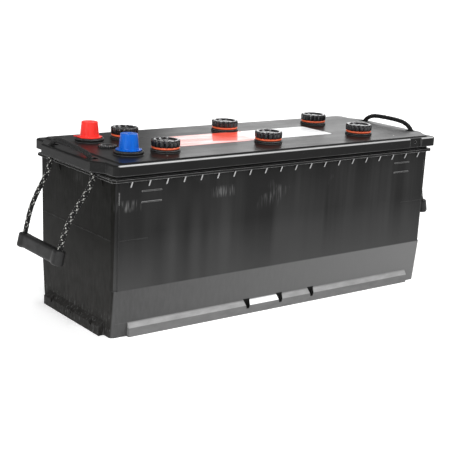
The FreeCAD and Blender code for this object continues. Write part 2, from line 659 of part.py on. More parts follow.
def separators(column, row):
    """Twelve loose sheets between the plates of one cell."""
    x, y = cell_centre(column, row)
    sheets = []
    for kind, low, high in stack_places():
        if kind == "separator":
            sheets.append(box(x - PLATE_WIDTH / 2 - 1.5, x + PLATE_WIDTH / 2 + 1.5, y + low, y + high,
                              PLATE_Z[0], PLATE_Z[1] + 4))
    return Part.makeCompound(sheets)


def link_shape(index):
    """The lead that joins a cell to the next one through the partition between them."""
    _, column, row = CELLS[index]
    if index == 2:
        x = cell_centre(1, 1)[0] + LUG_OFFSET
        return Part.makeCylinder(LINK_RADIUS, PARTITION, V(x, -PARTITION / 2, LINK_Z), Y_AXIS)
    next_column = CELLS[index + 1][1]
    x = CELL_X * (column + next_column) - PARTITION / 2
    return Part.makeCylinder(LINK_RADIUS, PARTITION, V(x, cell_centre(column, row)[1], LINK_Z), X_AXIS)


# ---------------------------------------------------------------- rope handles
def rounded_path(points):
    """Straight runs joined by tangent arcs, as large as their two runs allow; prints the radii."""
    edges = []
    radii = []
    start = points[0]
    for before, corner, after in zip(points, points[1:], points[2:]):
        incoming = (corner - before).normalize()
        outgoing = (after - corner).normalize()
        turn = incoming.getAngle(outgoing)
        trim = 0.45 * min(before.distanceToPoint(corner), corner.distanceToPoint(after))
        radius = trim / math.tan(turn / 2)
        radii.append(radius)
        first = corner - incoming * trim
        last = corner + outgoing * trim
        towards = (outgoing - incoming).normalize()
        middle = corner + towards * (radius / math.cos(turn / 2) - radius)
        edges.append(Part.LineSegment(start, first).toShape())
        edges.append(Part.Arc(first, middle, last).toShape())
        start = last
    edges.append(Part.LineSegment(start, points[-1]).toShape())
    print("   bend radii:", ", ".join("%.1f" % radius for radius in radii))
    return Part.Wire(edges)


def rope_tube(points):
    """A rope along a route; its volume is printed beside section times length."""
    path = rounded_path(points)
    first = path.Edges[0]
    direction = first.tangentAt(first.FirstParameter)
    ring = Part.Wire(Part.Circle(points[0], direction, ROPE_RADIUS).toShape())
    tube = path.makePipeShell([ring], True, False)
    expected = math.pi * ROPE_RADIUS ** 2 * path.Length
    print("   tube %.1f mm long, volume %.1f of %.1f" % (path.Length, tube.Volume, expected))
    return tube


def leg_points(side):
    """Route of the front leg of one handle, from the pivot into the grip; side is -1 for the left end."""
    points = [V(side * HANDLE_X, -HANDLE_Y, PIVOT_Z)]
    drawn_in = (HANDLE_Y - GRIP_Y) / sum(run for run, _ in LEG_RUNS[:-1])
    for index, (run, lean) in enumerate(LEG_RUNS):
        angle = math.radians(lean)
        inwards = run * drawn_in if index < len(LEG_RUNS) - 1 else 0.0
        points.append(points[-1] + V(side * run * math.sin(angle), inwards, -run * math.cos(angle)))
    return points


def rope_leg(side):
    """One leg, with a round top end on the pivot line."""
    points = leg_points(side)
    return rope_tube(points).fuse(Part.makeSphere(ROPE_RADIUS, points[0])).removeSplitter()


def arch_points(end, side):
    """Route over the lid, from just above one pivot to just above the other."""
    foot = PIVOT_Z + ROPE_RADIUS + RUN_GAP
    route = [(-HANDLE_Y, foot)] + list(ARCHES[end]) + [(HANDLE_Y, foot)]
    return [V(side * HANDLE_X, y, z) for y, z in route]


def grip(side):
    """Moulded bar between two sockets; modelled upright at the origin, then tilted onto the ropes."""
    thickness, height = GRIP_BAR
    bar = Part.makeBox(thickness, 2 * GRIP_Y, height, V(-thickness / 2, -GRIP_Y, -height - 1.0))
    bar = bar.makeFillet(2.6, [edge for edge in bar.Edges
                               if abs(edge.Vertexes[0].Y - edge.Vertexes[1].Y) > 1])
    pieces = [bar]
    for y in (-GRIP_Y, GRIP_Y):
        boss = Part.makeCylinder(GRIP_BOSS_RADIUS, GRIP_HEIGHT, V(0, y, -GRIP_HEIGHT), Z_AXIS)
        pieces.append(boss.makeFillet(1.5, boss.Edges))
    body = joined(pieces)
    cuts = [cylinder(ROPE_RADIUS, -GRIP_SOCKET, 2.0, 0, y) for y in (-GRIP_Y, GRIP_Y)]
    eye_radius, eye_y = GRIP_EYE
    cuts.append(cylinder(eye_radius, -6.0, 2.0, 0, eye_y))
    body = body.cut(cuts)
    end = leg_points(side)[-1]
    angle = math.radians(GRIP_TILT)
    mouth = end + V(-side * GRIP_SOCKET * math.sin(angle), 0, GRIP_SOCKET * math.cos(angle))
    body.rotate(V(0, 0, 0), Y_AXIS, -side * GRIP_TILT)
    body.translate(V(mouth.x, 0, mouth.z))
    return body


def write_all():
    write("container", container())
    write("lid", lid())
    write("centre_plug", centre_plug())
    write("gas_outlet_frit", outlet_frit())
    write("top_label", top_label())
    for number, (x, y) in enumerate(vent_positions(), 1):
        write("vent_plug_%d" % number, vent_plug(x, y))
        write("vent_seal_%d" % number, vent_seal(x, y))
    for sign in ("positive", "negative"):
        write("%s_bushing" % sign, bushing(sign))
        write("%s_post" % sign, post(sign))
        write("%s_terminal_cap" % sign, terminal_cap(sign))
    for number, column, row in CELLS:
        for kind in ("positive", "negative"):
            write("cell_%d_%s_plates" % (number, kind), plate_group(kind, column, row))
        write("cell_%d_separators" % number, separators(column, row))
    for index in range(5):
        write("cell_link_%d_%d" % (index + 1, index + 2), link_shape(index))
    for end, side in (("left", -1), ("right", 1)):
        leg = rope_leg(side)
        write("%s_rope_front" % end, leg)
        write("%s_rope_rear" % end, mirror_y(leg))
        write("%s_rope_loop" % end, rope_tube(arch_points(end, side)))
        write("%s_grip" % end, grip(side))


os.makedirs("parts", exist_ok=True)
write_all()
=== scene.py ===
"""Looks of the deep cycle battery: ropes, plugs, caps, grips, label and every material, round the CAD frame.

Everything is in metres, in the CAD frame: X along the case, Y to the rear, Z up.
"""
import math

import bmesh
import bpy
from mathutils import Matrix, Vector


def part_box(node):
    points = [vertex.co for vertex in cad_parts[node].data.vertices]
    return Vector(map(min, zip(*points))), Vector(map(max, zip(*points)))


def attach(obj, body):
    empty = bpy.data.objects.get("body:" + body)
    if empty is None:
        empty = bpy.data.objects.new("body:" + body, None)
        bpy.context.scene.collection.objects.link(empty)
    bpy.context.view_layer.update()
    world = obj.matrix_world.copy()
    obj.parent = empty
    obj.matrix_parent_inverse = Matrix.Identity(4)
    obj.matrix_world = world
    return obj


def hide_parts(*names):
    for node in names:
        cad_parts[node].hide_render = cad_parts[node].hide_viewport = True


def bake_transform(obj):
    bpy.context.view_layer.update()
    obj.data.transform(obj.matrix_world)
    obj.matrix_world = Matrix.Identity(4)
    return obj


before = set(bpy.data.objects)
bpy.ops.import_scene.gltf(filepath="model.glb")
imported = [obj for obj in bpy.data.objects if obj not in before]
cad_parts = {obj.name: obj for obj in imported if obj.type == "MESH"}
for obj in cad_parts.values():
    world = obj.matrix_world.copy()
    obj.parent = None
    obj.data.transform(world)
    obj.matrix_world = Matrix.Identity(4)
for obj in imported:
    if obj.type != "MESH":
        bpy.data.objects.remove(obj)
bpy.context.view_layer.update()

MM = 0.001

# ---- driving sizes
LID_TOP = 0.2014            # the lid's raised field
RIM_CORNER = 0.2945         # |y| + z where the lid's long rims would meet its top unrounded
END_WALL = 0.2400           # past this distance along the case is an end wall
BAND_TOP = 0.056            # the container's lower band ends here
LEDGE_FACE = 0.0105         # top of a ledge's upright face; its top slopes up from there
LEDGE_TOP = 0.017
LEDGE_SIDE = 0.083          # past this distance across is a long side's ledge
LEDGE_NOTCHES = (-0.051, 0.0, 0.051)
NOTCH_FLOOR = 0.0066
NOTCH_FLARE = 0.27          # half width of a notch over height above the ground
FLANGE_BOTTOM = 0.180       # the flange below the weld line
GUSSET_BOTTOM = 0.170       # the gussets under the flange lie above this
GUSSET_SIDE = 0.0861        # and further across than this
MARK_LOW = 0.155            # the raised level marks
MARK_HIGH = 0.1675
MARK_START = 0.179          # and lie further along than this
SCUFFS = ((-0.224, 0.152), (-0.095, 0.157))             # middles of hatched scuffs, as x and z
PAINT_SPECKS = ((-0.208, -0.054), (-0.166, -0.072), (0.189, -0.072))    # on the lid, as x and y
LABEL_RULES = (0.006, 0.0105, 0.015)                    # the label's grey rules, as y
PLATE_TOP = 0.140           # lugs and straps above, pasted plates below

CAMERA_PLACE = (-0.8342, -1.0721, 0.4301)
CAMERA_AZIMUTH = -36.997
CAMERA_ELEVATION = 14.278
CAMERA_ROLL = 2.606
CAMERA_LENS = 87.15
CAMERA_SENSOR = 36.0

LIGHT_TARGET = (0, 0, 0.15) # the soft boxes face this point
SOFTBOX_DISTANCE = 2.2
# Each soft box: its name, its direction from the case, its width and height, and its power.
SOFTBOXES = (
    ("back_softbox", (0.80, 0.66, 0.32), (1.5, 0.9), 9.0),
    ("front_softbox", (-0.60, -0.75, 0.45), (1.2, 1.2), 22.0),
    ("upper_softbox", (-0.50, -0.30, 0.85), (0.4, 0.4), 9.0),
    ("side_softbox", (-0.95, -0.25, 0.20), (0.35, 0.45), 8.0),
)
SUN_DIRECTION = (0.50, -0.30, 0.78)
SUN_STRENGTH = 2.0
SUN_SPREAD = 24.0           # degrees; a wide sun throws soft shadows
SKY_STRENGTH = 0.30
FLOOR_GLOW = 0.40
FLOOR_HALF = 30.0

ROPE_RADIUS = 0.0030
HANDLE_X = 0.249
HANDLE_Y = 0.050
PIVOT_Z = 0.178
# Each run of a hanging leg from the hinge down into the grip: length, and lean outwards in degrees.
LEG_RUNS = ((0.0072, 12.0), (0.0130, 30.0), (0.0180, 34.0), (0.0200, 28.0), (0.0180, 17.0), (0.0190, 13.0))
# The arch over the lid at each end, as y and z.
ARCHES = {
    "left": ((-0.0500, 0.1910), (-0.0463, 0.1993), (-0.0393, 0.2043), (-0.0200, 0.2059), (0.0050, 0.2075),
             (0.0240, 0.2087), (0.0370, 0.2070), (0.0455, 0.2008), (0.0500, 0.1920)),
    "right": ((-0.0500, 0.1905), (-0.0466, 0.1992), (-0.0385, 0.2065), (-0.0240, 0.2106),
              (0.0240, 0.2106), (0.0385, 0.2065), (0.0466, 0.1992), (0.0500, 0.1905)),
}
BRAID_LEAD = 0.027          # one turn of a strand round the rope
BRAID_STRANDS = 8           # in each direction
BRAID_STEP = 0.00045
BRAID_FILL = 0.94           # how much of its share of the round a strand fills
STRAND_POINTS = 5           # across a strand's round back
# Radii in the braid, as shares of ROPE_RADIUS; the three from BRAID_LOW on add up to 1.
CORE_SHARE = 0.58
BRAID_LOW = 0.66            # the sides of a strand that passes under
BRAID_RISE = 0.22           # how much higher they are where it passes over
BRAID_CROWN = 0.12          # height of the round back between them
BRAID_BELOW = 0.52          # the hidden underside of a strand that passes under
TRACER_PERIOD = 4           # every fourth strand in each direction is a white tracer
TRACER_OVER = 0.75          # a tracer shows where it has risen this much
BLACK_TRACER_Z = 0.190             # above this the tracers are left black
WEAVE_UNIT = 0.002          # rope length for one unit of a strand's UV map

GRIP_Y = 0.0425             # from the middle to each socket
GRIP_TILT = 13.0
GRIP_SOCKET = 0.008
GRIP_HEIGHT = 0.017
GRIP_BOSS_RADIUS = 0.0069
GRIP_BAR = (0.0122, 0.0158) # thickness and height between the bosses
GRIP_BAR_DROP = 0.0004      # the bar's top lies this much below the bosses' tops
GRIP_FILLET = 0.0024
GRIP_SWELL = (0.80, 0.97)   # shares of GRIP_Y between which the bar swells into a boss
GRIP_EYE = (0.0016, -0.023) # radius and y of the small hole in the bar
GRIP_EYE_DEPTH = 0.006
GRIP_VOXEL = 0.0007

PLUG_LOBES = 15
PLUG_LOBE_DEPTH = 0.0021
PLUG_HEAD = 0.0170          # radius of a vent plug's head
PLUG_SHANK = 0.0126
PLUG_BORE = 0.0104
THREAD_PITCH = 0.003        # as the vent plugs lift 3 mm in each turn
THREAD_DEPTH = 0.0007
SEAL_MIDDLE = 0.0151        # radius of the middle of a vent's sealing ring
SEAL_HALF = 0.0014
CENTRE_HEAD = 0.0110        # radius of the blanking plug's head
CENTRE_STEM = 0.0070
CENTRE_KNURLS = 24
KNURL_DEPTH = 0.0008

CAP_SCALLOPS = 8            # in the flange, with a rib above each
CAP_SCALLOP_DEPTH = 0.0009
CAP_RIB = 0.0005
CAP_FLANGE = 0.0013         # thickness
CAP_FLANGE_RADIUS = 0.0150
CAP_FOOT = 0.01145          # radius of the cap's wall just above the flange
CAP_CROWN = 0.0097          # radius of its top
CAP_WALL = 0.0012
CAP_DIMPLE = 0.0008
TAB_ANGLE = 142.0           # the pull tab's direction, in degrees from +X
TAB_REACH = 0.019
TAB_HALF = 0.0016           # half width
TAB_ROOT = 0.0136           # the tab starts inside the flange

LABEL_BAY = 0.0182          # radius of the label's bays round the middle vents
LABEL_CORNER = 0.0025
FINE_STEP = 0.0005          # longest run along a turned profile


# ---- mesh helpers
def grey(value):
    return (value, value, value)


def new_object(name, data):
    item = bpy.data.objects.new(name, data)
    bpy.context.scene.collection.objects.link(item)
    return item


def mesh_object(name, vertices, faces, materials, face_materials=None, smooth=True):
    """A new object from points and faces, with outward normals."""
    mesh = bpy.data.meshes.new(name)
    mesh.from_pydata([tuple(v) for v in vertices], [], faces)
    for material in materials:
        mesh.materials.append(material)
    if face_materials:
        mesh.polygons.foreach_set("material_index", face_materials)
    mesh.polygons.foreach_set("use_smooth", [smooth] * len(mesh.polygons))
    work = bmesh.new()
    work.from_mesh(mesh)
    bmesh.ops.recalc_face_normals(work, faces=work.faces)
    work.to_mesh(mesh)
    work.free()
    return new_object(name, mesh)


def softened(corners, steps=4):
    """A turned piece's profile through (radius, height, fillet) corners, each rounded by about its fillet."""
    points = [Vector(corners[0][:2])]
    for before, corner, after in zip(corners, corners[1:], corners[2:]):
        here = Vector(corner[:2])
        back = Vector(before[:2]) - here
        ahead = Vector(after[:2]) - here
        half = back.angle(ahead) / 2
        reach = min(corner[2] / math.tan(half), 0.49 * back.length, 0.49 * ahead.length)
        start = here + back.normalized() * reach
        end = here + ahead.normalized() * reach
        for step in range(steps + 1):
            share = step / steps
            low = start.lerp(here, share)
            points.append(low.lerp(here.lerp(end, share), share))
    points.append(Vector(corners[-1][:2]))
    return points


def arc(centre, radius, start, sweep, steps):
    """Points round part of a circle, from a start angle through a sweep, both in degrees."""
    angles = [math.radians(start + sweep * step / steps) for step in range(steps + 1)]
    return [Vector(centre) + radius * Vector((math.cos(angle), math.sin(angle))) for angle in angles]


def divided(points, step):
    """The same profile with no run longer than step."""
    result = [points[0]]
    for start, end in zip(points, points[1:]):
        count = max(1, math.ceil((end - start).length / step))
        result += [start.lerp(end, (i + 1) / count) for i in range(count)]
    return result


def turned(name, profile, centre, segments, materials, radius_at=None, closed=False):
    """A surface of revolution about an upright axis; radius_at(radius, height, angle) may shape it."""
    vertices = []
    rings = []
    for radius, height in profile:
        if radius < 1e-7:
            rings.append([len(vertices)] * segments)
            vertices.append((centre[0], centre[1], height))
            continue
        rings.append(list(range(len(vertices), len(vertices) + segments)))
        for index in range(segments):
            angle = 2 * math.pi * index / segments
            r = radius_at(radius, height, angle) if radius_at else radius
            vertices.append((centre[0] + r * math.cos(angle), centre[1] + r * math.sin(angle), height))
    pairs = list(zip(rings, rings[1:]))
    if closed:
        pairs.append((rings[-1], rings[0]))
    faces = []
    for low, high in pairs:
        for index in range(segments):
            after = (index + 1) % segments
            corners = [low[index], low[after], high[after], high[index]]
            face = [c for place, c in enumerate(corners) if c not in corners[:place]]
            if len(face) > 2:
                faces.append(face)
    return mesh_object(name, vertices, faces, materials)


def tube_faces(first, sides, rings):
    """Faces of a closed tube of rings with so many sides each, its points numbered from first on."""
    faces = []
    for ring in range(rings - 1):
        low = first + ring * sides
        for index in range(sides):
            after = (index + 1) % sides
            faces.append((low + index, low + after, low + sides + after, low + sides + index))
    for end in (0, rings - 1):
        faces.append(tuple(first + end * sides + index for index in range(sides)))
    return faces


def smoothstep(value, low, high):
    """0 to 1, easing in and out, as the value goes from low to high."""
    share = min(1.0, max(0.0, (value - low) / (high - low)))
    return share * share * (3 - 2 * share)


def plan_centre(node):
    """The (x, y) of a CAD node's middle, its lowest z and its highest z."""
    low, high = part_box(node)
    return ((low.x + high.x) / 2, (low.y + high.y) / 2), low.z, high.z


# ---- material helpers
class Look:
    """One Principled material and short ways to add nodes to it."""

    def __init__(self, name, colour, roughness, **sockets):
        self.material = bpy.data.materials.new(name)
        self.material.use_nodes = True
        self.material.diffuse_color = (*colour, 1.0)
        self.tree = self.material.node_tree
        self.shader = self.tree.nodes["Principled BSDF"]
        self.shader.inputs["Base Color"].default_value = (*colour, 1.0)
        self.shader.inputs["Roughness"].default_value = roughness
        for socket, value in sockets.items():
            self.shader.inputs[socket.replace("_", " ")].default_value = value
        self.place = self.add("TexCoord").outputs["Object"]
        parts = self.add("SeparateXYZ", Vector=self.place)
        self.x = parts.outputs["X"]
        self.y = parts.outputs["Y"]
        self.z = parts.outputs["Z"]

    def feed(self, socket, value):
        if isinstance(value, bpy.types.NodeSocket):
            self.tree.links.new(value, socket)
        elif isinstance(value, tuple) and len(value) == 3 and socket.type == "RGBA":
            socket.default_value = (*value, 1.0)
        else:
            socket.default_value = value

    def add(self, kind, settings=None, **inputs):
        """A new node; inputs name its sockets, with _ for a space."""
        node = self.tree.nodes.new("ShaderNode" + kind)
        for key, value in (settings or {}).items():
            setattr(node, key, value)
        for key, value in inputs.items():
            self.feed(node.inputs[key.replace("_", " ")], value)
        return node

    def noise(self, scale, stretch=(1, 1, 1), detail=3.0, rough=0.55):
        """Noise from 0 to 1; stretch multiplies the pattern's frequency along each axis."""
        mapped = self.add("Mapping", Vector=self.place, Scale=stretch)
        node = self.add("TexNoise", Vector=mapped.outputs["Vector"], Scale=scale, Detail=detail,
                        Roughness=rough)
        return node.outputs["Fac"]

    def spread(self, value, low, high, out_low=0.0, out_high=1.0):
        """The value mapped from low..high to out_low..out_high, and kept inside."""
        node = self.add("MapRange", {"clamp": True}, Value=value, From_Min=low, From_Max=high,
                        To_Min=out_low, To_Max=out_high)
        return node.outputs["Result"]

    def calc(self, operation, a, b=0.0):
        node = self.add("Math", {"operation": operation})
        self.feed(node.inputs[0], a)
        self.feed(node.inputs[1], b)
        return node.outputs["Value"]

    def product(self, *values):
        result = values[0]
        for value in values[1:]:
            result = self.calc("MULTIPLY", result, value)
        return result

    def mix(self, factor, a, b):
        """A colour from a to b; the numbers are a colour Mix node's own sockets."""
        node = self.add("Mix", {"data_type": "RGBA"})
        self.feed(node.inputs[0], factor)
        self.feed(node.inputs[6], a)
        self.feed(node.inputs[7], b)
        return node.outputs[2]

    def window(self, value, low, high, soft):
        """1 where the value is between low and high, with soft sides."""
        rise = self.spread(value, low - soft / 2, low + soft / 2)
        fall = self.spread(value, high - soft / 2, high + soft / 2, 1.0, 0.0)
        return self.calc("MULTIPLY", rise, fall)

    def corners(self, reach):
        """1 where the surface turns a corner within reach metres, and 0 on flat ground."""
        rounded = self.add("Bevel", {"samples": 8}, Radius=reach).outputs["Normal"]
        plain = self.add("NewGeometry").outputs["Normal"]
        facing = self.add("VectorMath", {"operation": "DOT_PRODUCT"})
        self.feed(facing.inputs[0], rounded)
        self.feed(facing.inputs[1], plain)
        return self.spread(facing.outputs["Value"], 0.985, 0.88)

    def faces_long_sides(self):
        """1 on surfaces that don't look along the case's length."""
        normal = self.add("SeparateXYZ", Vector=self.add("NewGeometry").outputs["Normal"])
        return self.spread(self.calc("ABSOLUTE", normal.outputs["X"]), 0.5, 0.3)

    def colour(self, socket):
        self.feed(self.shader.inputs["Base Color"], socket)

    def roughness(self, socket):
        self.feed(self.shader.inputs["Roughness"], socket)

    def relief(self, *layers, edge=0.0):
        """Bumps from (height socket, depth in metres) layers, over corners rounded by edge metres."""
        normal = None
        if edge:
            normal = self.add("Bevel", {"samples": 6}, Radius=edge).outputs["Normal"]
        for height, depth in layers:
            bump = self.add("Bump", Height=height, Distance=depth, Strength=1.0)
            if normal:
                self.feed(bump.inputs["Normal"], normal)
            normal = bump.outputs["Normal"]
        self.feed(self.shader.inputs["Normal"], normal)
        return self.material


# ---- materials
def case_material():
    """Black polypropylene: flow lines, dust, scuffs, a paler lower band (wear and a painted floor
    reflection), pale ledges with a painted highlight, notches and end tops darkened as painted shade, pale
    worn corners, and painted highlights on the flange edge and gussets.
    """
    look = Look("case_polypropylene", grey(0.010), 0.45, Specular_IOR_Level=0.03)
    cloud = look.noise(9.0, (1, 1, 0.5))
    flow = look.noise(55.0, (1, 1, 0.05), detail=4.0)
    scratch = look.noise(420.0, (1, 1, 0.22), detail=4.0, rough=0.7)
    grit = look.noise(260.0, (1, 1, 0.3), detail=5.0)
    wear = look.noise(140.0, (0.4, 1, 1), detail=5.0)
    along = look.calc("ABSOLUTE", look.x)
    across = look.calc("ABSOLUTE", look.y)
    ends = look.spread(along, END_WALL - 0.4 * MM, END_WALL)

    # The plain walls: upright flow lines and bands, haze low down, and on the ends dust low down and painted
    # shade at the top under the lid.
    streaks = look.product(look.spread(flow, 0.42, 0.66), look.spread(cloud, 0.4, 0.7))
    body = look.mix(cloud, grey(0.010), grey(0.021))
    body = look.mix(streaks, body, grey(0.032))
    bands = look.product(look.spread(look.noise(26.0, (1, 0.2, 0.02), detail=1.0), 0.46, 0.60),
                         look.spread(look.z, 0.165, 0.10), look.spread(look.x, 0.08, -0.04, 0.4, 1.0))
    body = look.mix(bands, body, grey(0.037))
    haze = look.product(look.spread(look.z, 0.12, 0.06, 0.0, 0.8), look.spread(cloud, 0.3, 0.6, 0.6, 1.0))
    body = look.mix(haze, body, grey(0.052))
    # The ends: paler low down with dust, near black towards the top as painted shade under the lid and
    # flange.
    ends_dust_and_shade = look.mix(look.spread(look.z, 0.14, 0.02), (0.0035, 0.0035, 0.003), (0.030, 0.029, 0.028))
    body = look.mix(ends, body, look.mix(look.spread(grit, 0.3, 0.8), ends_dust_and_shade, (0.011, 0.011, 0.010)))

    # The lower band on the long sides, painted paler: part wear, part painted reflection of the floor.
    long_side = look.spread(along, END_WALL - 0.4 * MM, END_WALL - 1.2 * MM)
    band = look.product(look.spread(look.z, BAND_TOP + 0.6 * MM, BAND_TOP - 0.6 * MM), long_side)
    band_wear_and_sheen = look.mix(grit, grey(0.052), grey(0.080))
    # Paler towards +X: a painted light falloff.
    band_wear_and_sheen = look.mix(look.spread(look.x, -0.22, 0.22, 0.0, 0.9), band_wear_and_sheen, grey(0.155))
    body = look.mix(band, body, band_wear_and_sheen)

    # The ledges: a paler face, a paler slope still, and one run between notches painted white in front as a
    # painted highlight.
    on_ledge = look.product(look.spread(look.z, LEDGE_TOP + 0.4 * MM, LEDGE_TOP - 0.2 * MM),
                            look.spread(across, LEDGE_SIDE - 0.6 * MM, LEDGE_SIDE + 0.6 * MM))
    body = look.mix(on_ledge, body, look.mix(wear, grey(0.10), grey(0.17)))
    slope = look.product(on_ledge, look.spread(look.z, LEDGE_FACE - 0.3 * MM, LEDGE_FACE + 0.3 * MM))
    body = look.mix(slope, body, look.mix(wear, grey(0.15), grey(0.36)))
    # A painted highlight: the slope's run between the first two notches, in front, near white.
    highlight_run = look.product(slope, look.window(look.x, LEDGE_NOTCHES[0], LEDGE_NOTCHES[1], 1 * MM),
                          look.spread(look.y, 1 * MM, -1 * MM))
    body = look.mix(highlight_run, body, look.mix(wear, (0.80, 0.81, 0.82), grey(0.95)))
    # Each notch painted near black: painted shade in the recess.
    for x in LEDGE_NOTCHES:
        away = look.calc("ABSOLUTE", look.calc("SUBTRACT", look.x, x))
        wedge = look.calc("SUBTRACT", away, look.calc("MULTIPLY", look.z, NOTCH_FLARE))
        notch = look.product(look.spread(wedge, 0.3 * MM, -0.1 * MM), look.spread(across, 0.0800, 0.0804),
                             look.window(look.z, NOTCH_FLOOR, LEDGE_TOP + 1 * MM, 0.4 * MM))
        body = look.mix(notch, body, grey(0.006))
    speckle = look.product(ends, look.spread(look.z, 0.030, 0.020), look.spread(scratch, 0.55, 0.75))
    body = look.mix(speckle, body, grey(0.12))

    # Pale: painted highlights, with some wear, on the flange's edge and the gussets under it; worn pale on
    # the case's own corners and the level marks.
    corner = look.corners(0.8 * MM)
    # The flange's edge: a painted highlight with some wear.
    flange = look.product(corner, look.spread(look.z, FLANGE_BOTTOM - 0.5 * MM, FLANGE_BOTTOM),
                          look.spread(wear, 0.25, 0.55, 0.4, 1.0))
    body = look.mix(flange, body, grey(0.34))
    # The gussets: painted highlights on their edges, with some wear.
    gusset = look.product(look.faces_long_sides(),
                          look.window(look.z, GUSSET_BOTTOM, FLANGE_BOTTOM - 0.2 * MM, 0.6 * MM),
                          look.spread(across, GUSSET_SIDE, GUSSET_SIDE + 0.3 * MM))
    body = look.mix(gusset, body, look.mix(wear, grey(0.24), grey(0.46)))
    lower = look.product(corner, look.spread(look.z, GUSSET_BOTTOM - 1 * MM, GUSSET_BOTTOM - 2 * MM),
                         look.spread(wear, 0.3, 0.6, 0.1, 0.7))
    body = look.mix(lower, body, grey(0.07))
    marks = look.product(look.window(look.z, MARK_LOW - 0.8 * MM, MARK_HIGH + 0.8 * MM, 0.4 * MM), corner,
                         look.spread(along, MARK_START - 1 * MM, MARK_START + 1 * MM))
    body = look.mix(marks, body, grey(0.26))

    # Scuffs of fine upright hatching: a few by chance, and one at each of SCUFFS.
    patch = look.product(look.spread(look.noise(14.0), 0.62, 0.74), look.window(look.z, 0.138, 0.170, 0.02))
    for x, z in SCUFFS:
        patch = look.calc("MAXIMUM", patch,
                          look.product(look.window(look.x, x - 14 * MM, x + 14 * MM, 8 * MM),
                                       look.window(look.z, z - 5 * MM, z + 5 * MM, 5 * MM)))
    hatch = look.noise(620.0, (1, 1, 0.07), detail=2.0)
    scuffs = look.product(patch, look.spread(hatch, 0.45, 0.70), look.spread(scratch, 0.25, 0.55, 0.4, 1.0))
    look.colour(look.mix(scuffs, body, grey(0.13)))
    look.roughness(look.spread(look.calc("ADD", look.noise(70.0), scuffs), 0.3, 1.3, 0.40, 0.62))
    grain = look.noise(2300.0, detail=2.0)
    return look.relief((grain, 0.02 * MM), (flow, 0.12 * MM), (scratch, 0.03 * MM), edge=0.5 * MM)


def lid_material():
    """The lid's smoother black plastic with faint wipe marks, grain, pale corners (wear and painted glints),
    painted glints on the bosses, a painted highlight along the long rims, and a few paint specks.
    """
    look = Look("lid_polypropylene", grey(0.010), 0.3, Specular_IOR_Level=0.07)
    cloud = look.noise(16.0)
    wipe = look.noise(60.0, (0.25, 1, 1), detail=5.0, rough=0.65)
    colour = look.mix(cloud, grey(0.006), grey(0.013))
    # Corners painted pale: part wear, part painted glint.
    corner = look.product(look.corners(0.9 * MM), look.spread(wipe, 0.35, 0.6, 0.4, 1.0))
    colour = look.mix(corner, colour, grey(0.16))
    # Corners on the bosses above the lid's field painted paler still: painted glints.
    raised = look.product(corner, look.spread(look.z, LID_TOP + 0.8 * MM, LID_TOP + 1.2 * MM))
    colour = look.mix(raised, colour, grey(0.30))
    # A painted highlight line along the long rims' rounded top edges, broken by the wipe marks.
    outwards = look.calc("ADD", look.calc("ABSOLUTE", look.y), look.z)
    rim = look.product(look.spread(outwards, RIM_CORNER - 2.0 * MM, RIM_CORNER - 1.3 * MM),
                       look.spread(wipe, 0.2, 0.55, 0.7, 1.0))
    colour = look.mix(rim, colour, grey(0.45))
    dust = look.spread(look.noise(900.0, detail=1.0), 0.71, 0.78)
    colour = look.mix(look.product(dust, look.spread(cloud, 0.45, 0.6)), colour, (0.16, 0.16, 0.155))
    for x, y in PAINT_SPECKS:
        away = look.add("VectorMath", {"operation": "DISTANCE"}, Vector=look.place)
        away.inputs[1].default_value = (x, y, LID_TOP)
        speck = look.spread(away.outputs["Value"], 1.15 * MM, 0.75 * MM)
        colour = look.mix(speck, colour, (0.72, 0.71, 0.69))
    look.colour(colour)
    look.roughness(look.spread(look.calc("ADD", wipe, cloud), 0.6, 1.4, 0.25, 0.4))
    grain = look.noise(1500.0, detail=3.0)
    return look.relief((grain, 0.022 * MM), (wipe, 0.05 * MM), edge=0.45 * MM)


def plug_material():
    """Glossy black plastic with fine handling marks."""
    look = Look("plug_plastic", (0.009, 0.009, 0.010), 0.24, Specular_IOR_Level=0.6)
    marks = look.noise(500.0, (1, 1, 0.3), detail=4.0, rough=0.7)
    look.colour(look.mix(look.spread(marks, 0.5, 0.8), (0.007, 0.007, 0.008), grey(0.03)))
    look.roughness(look.spread(marks, 0.3, 0.75, 0.13, 0.30))
    return look.relief((look.noise(1700.0), 0.015 * MM), (marks, 0.02 * MM))


def cap_material(name, deep, bright):
    """Soft moulded polyethylene: clouded between a deep and a bright tone, with a satin skin."""
    look = Look(name, bright, 0.24, Specular_IOR_Level=0.16, Subsurface_Weight=0.1, Subsurface_Scale=0.002)
    look.shader.inputs["Subsurface Radius"].default_value = bright
    cloud = look.noise(120.0, (1, 1, 0.25), detail=3.0)
    look.colour(look.mix(look.spread(cloud, 0.3, 0.75), deep, bright))
    look.roughness(look.spread(cloud, 0.3, 0.7, 0.20, 0.32))
    return look.relief((look.noise(1300.0), 0.02 * MM), (cloud, 0.05 * MM))


def seal_material():
    """Orange rubber with a faint mottle."""
    look = Look("seal_rubber", (0.80, 0.13, 0.045), 0.42, Specular_IOR_Level=0.45)
    cloud = look.noise(300.0)
    look.colour(look.mix(cloud, (0.66, 0.085, 0.03), (0.88, 0.17, 0.07)))
    look.roughness(look.spread(cloud, 0.3, 0.7, 0.34, 0.5))
    return look.relief((look.noise(2200.0), 0.015 * MM))


def grip_material():
    """Matt grained black plastic."""
    look = Look("grip_plastic", grey(0.015), 0.5, Specular_IOR_Level=0.25)
    cloud = look.noise(90.0, detail=4.0)
    grain = look.noise(1400.0, detail=3.0, rough=0.65)
    look.colour(look.mix(look.spread(grain, 0.35, 0.75), grey(0.008), grey(0.022)))
    look.roughness(look.spread(cloud, 0.3, 0.7, 0.42, 0.58))
    return look.relief((grain, 0.05 * MM), (cloud, 0.15 * MM))


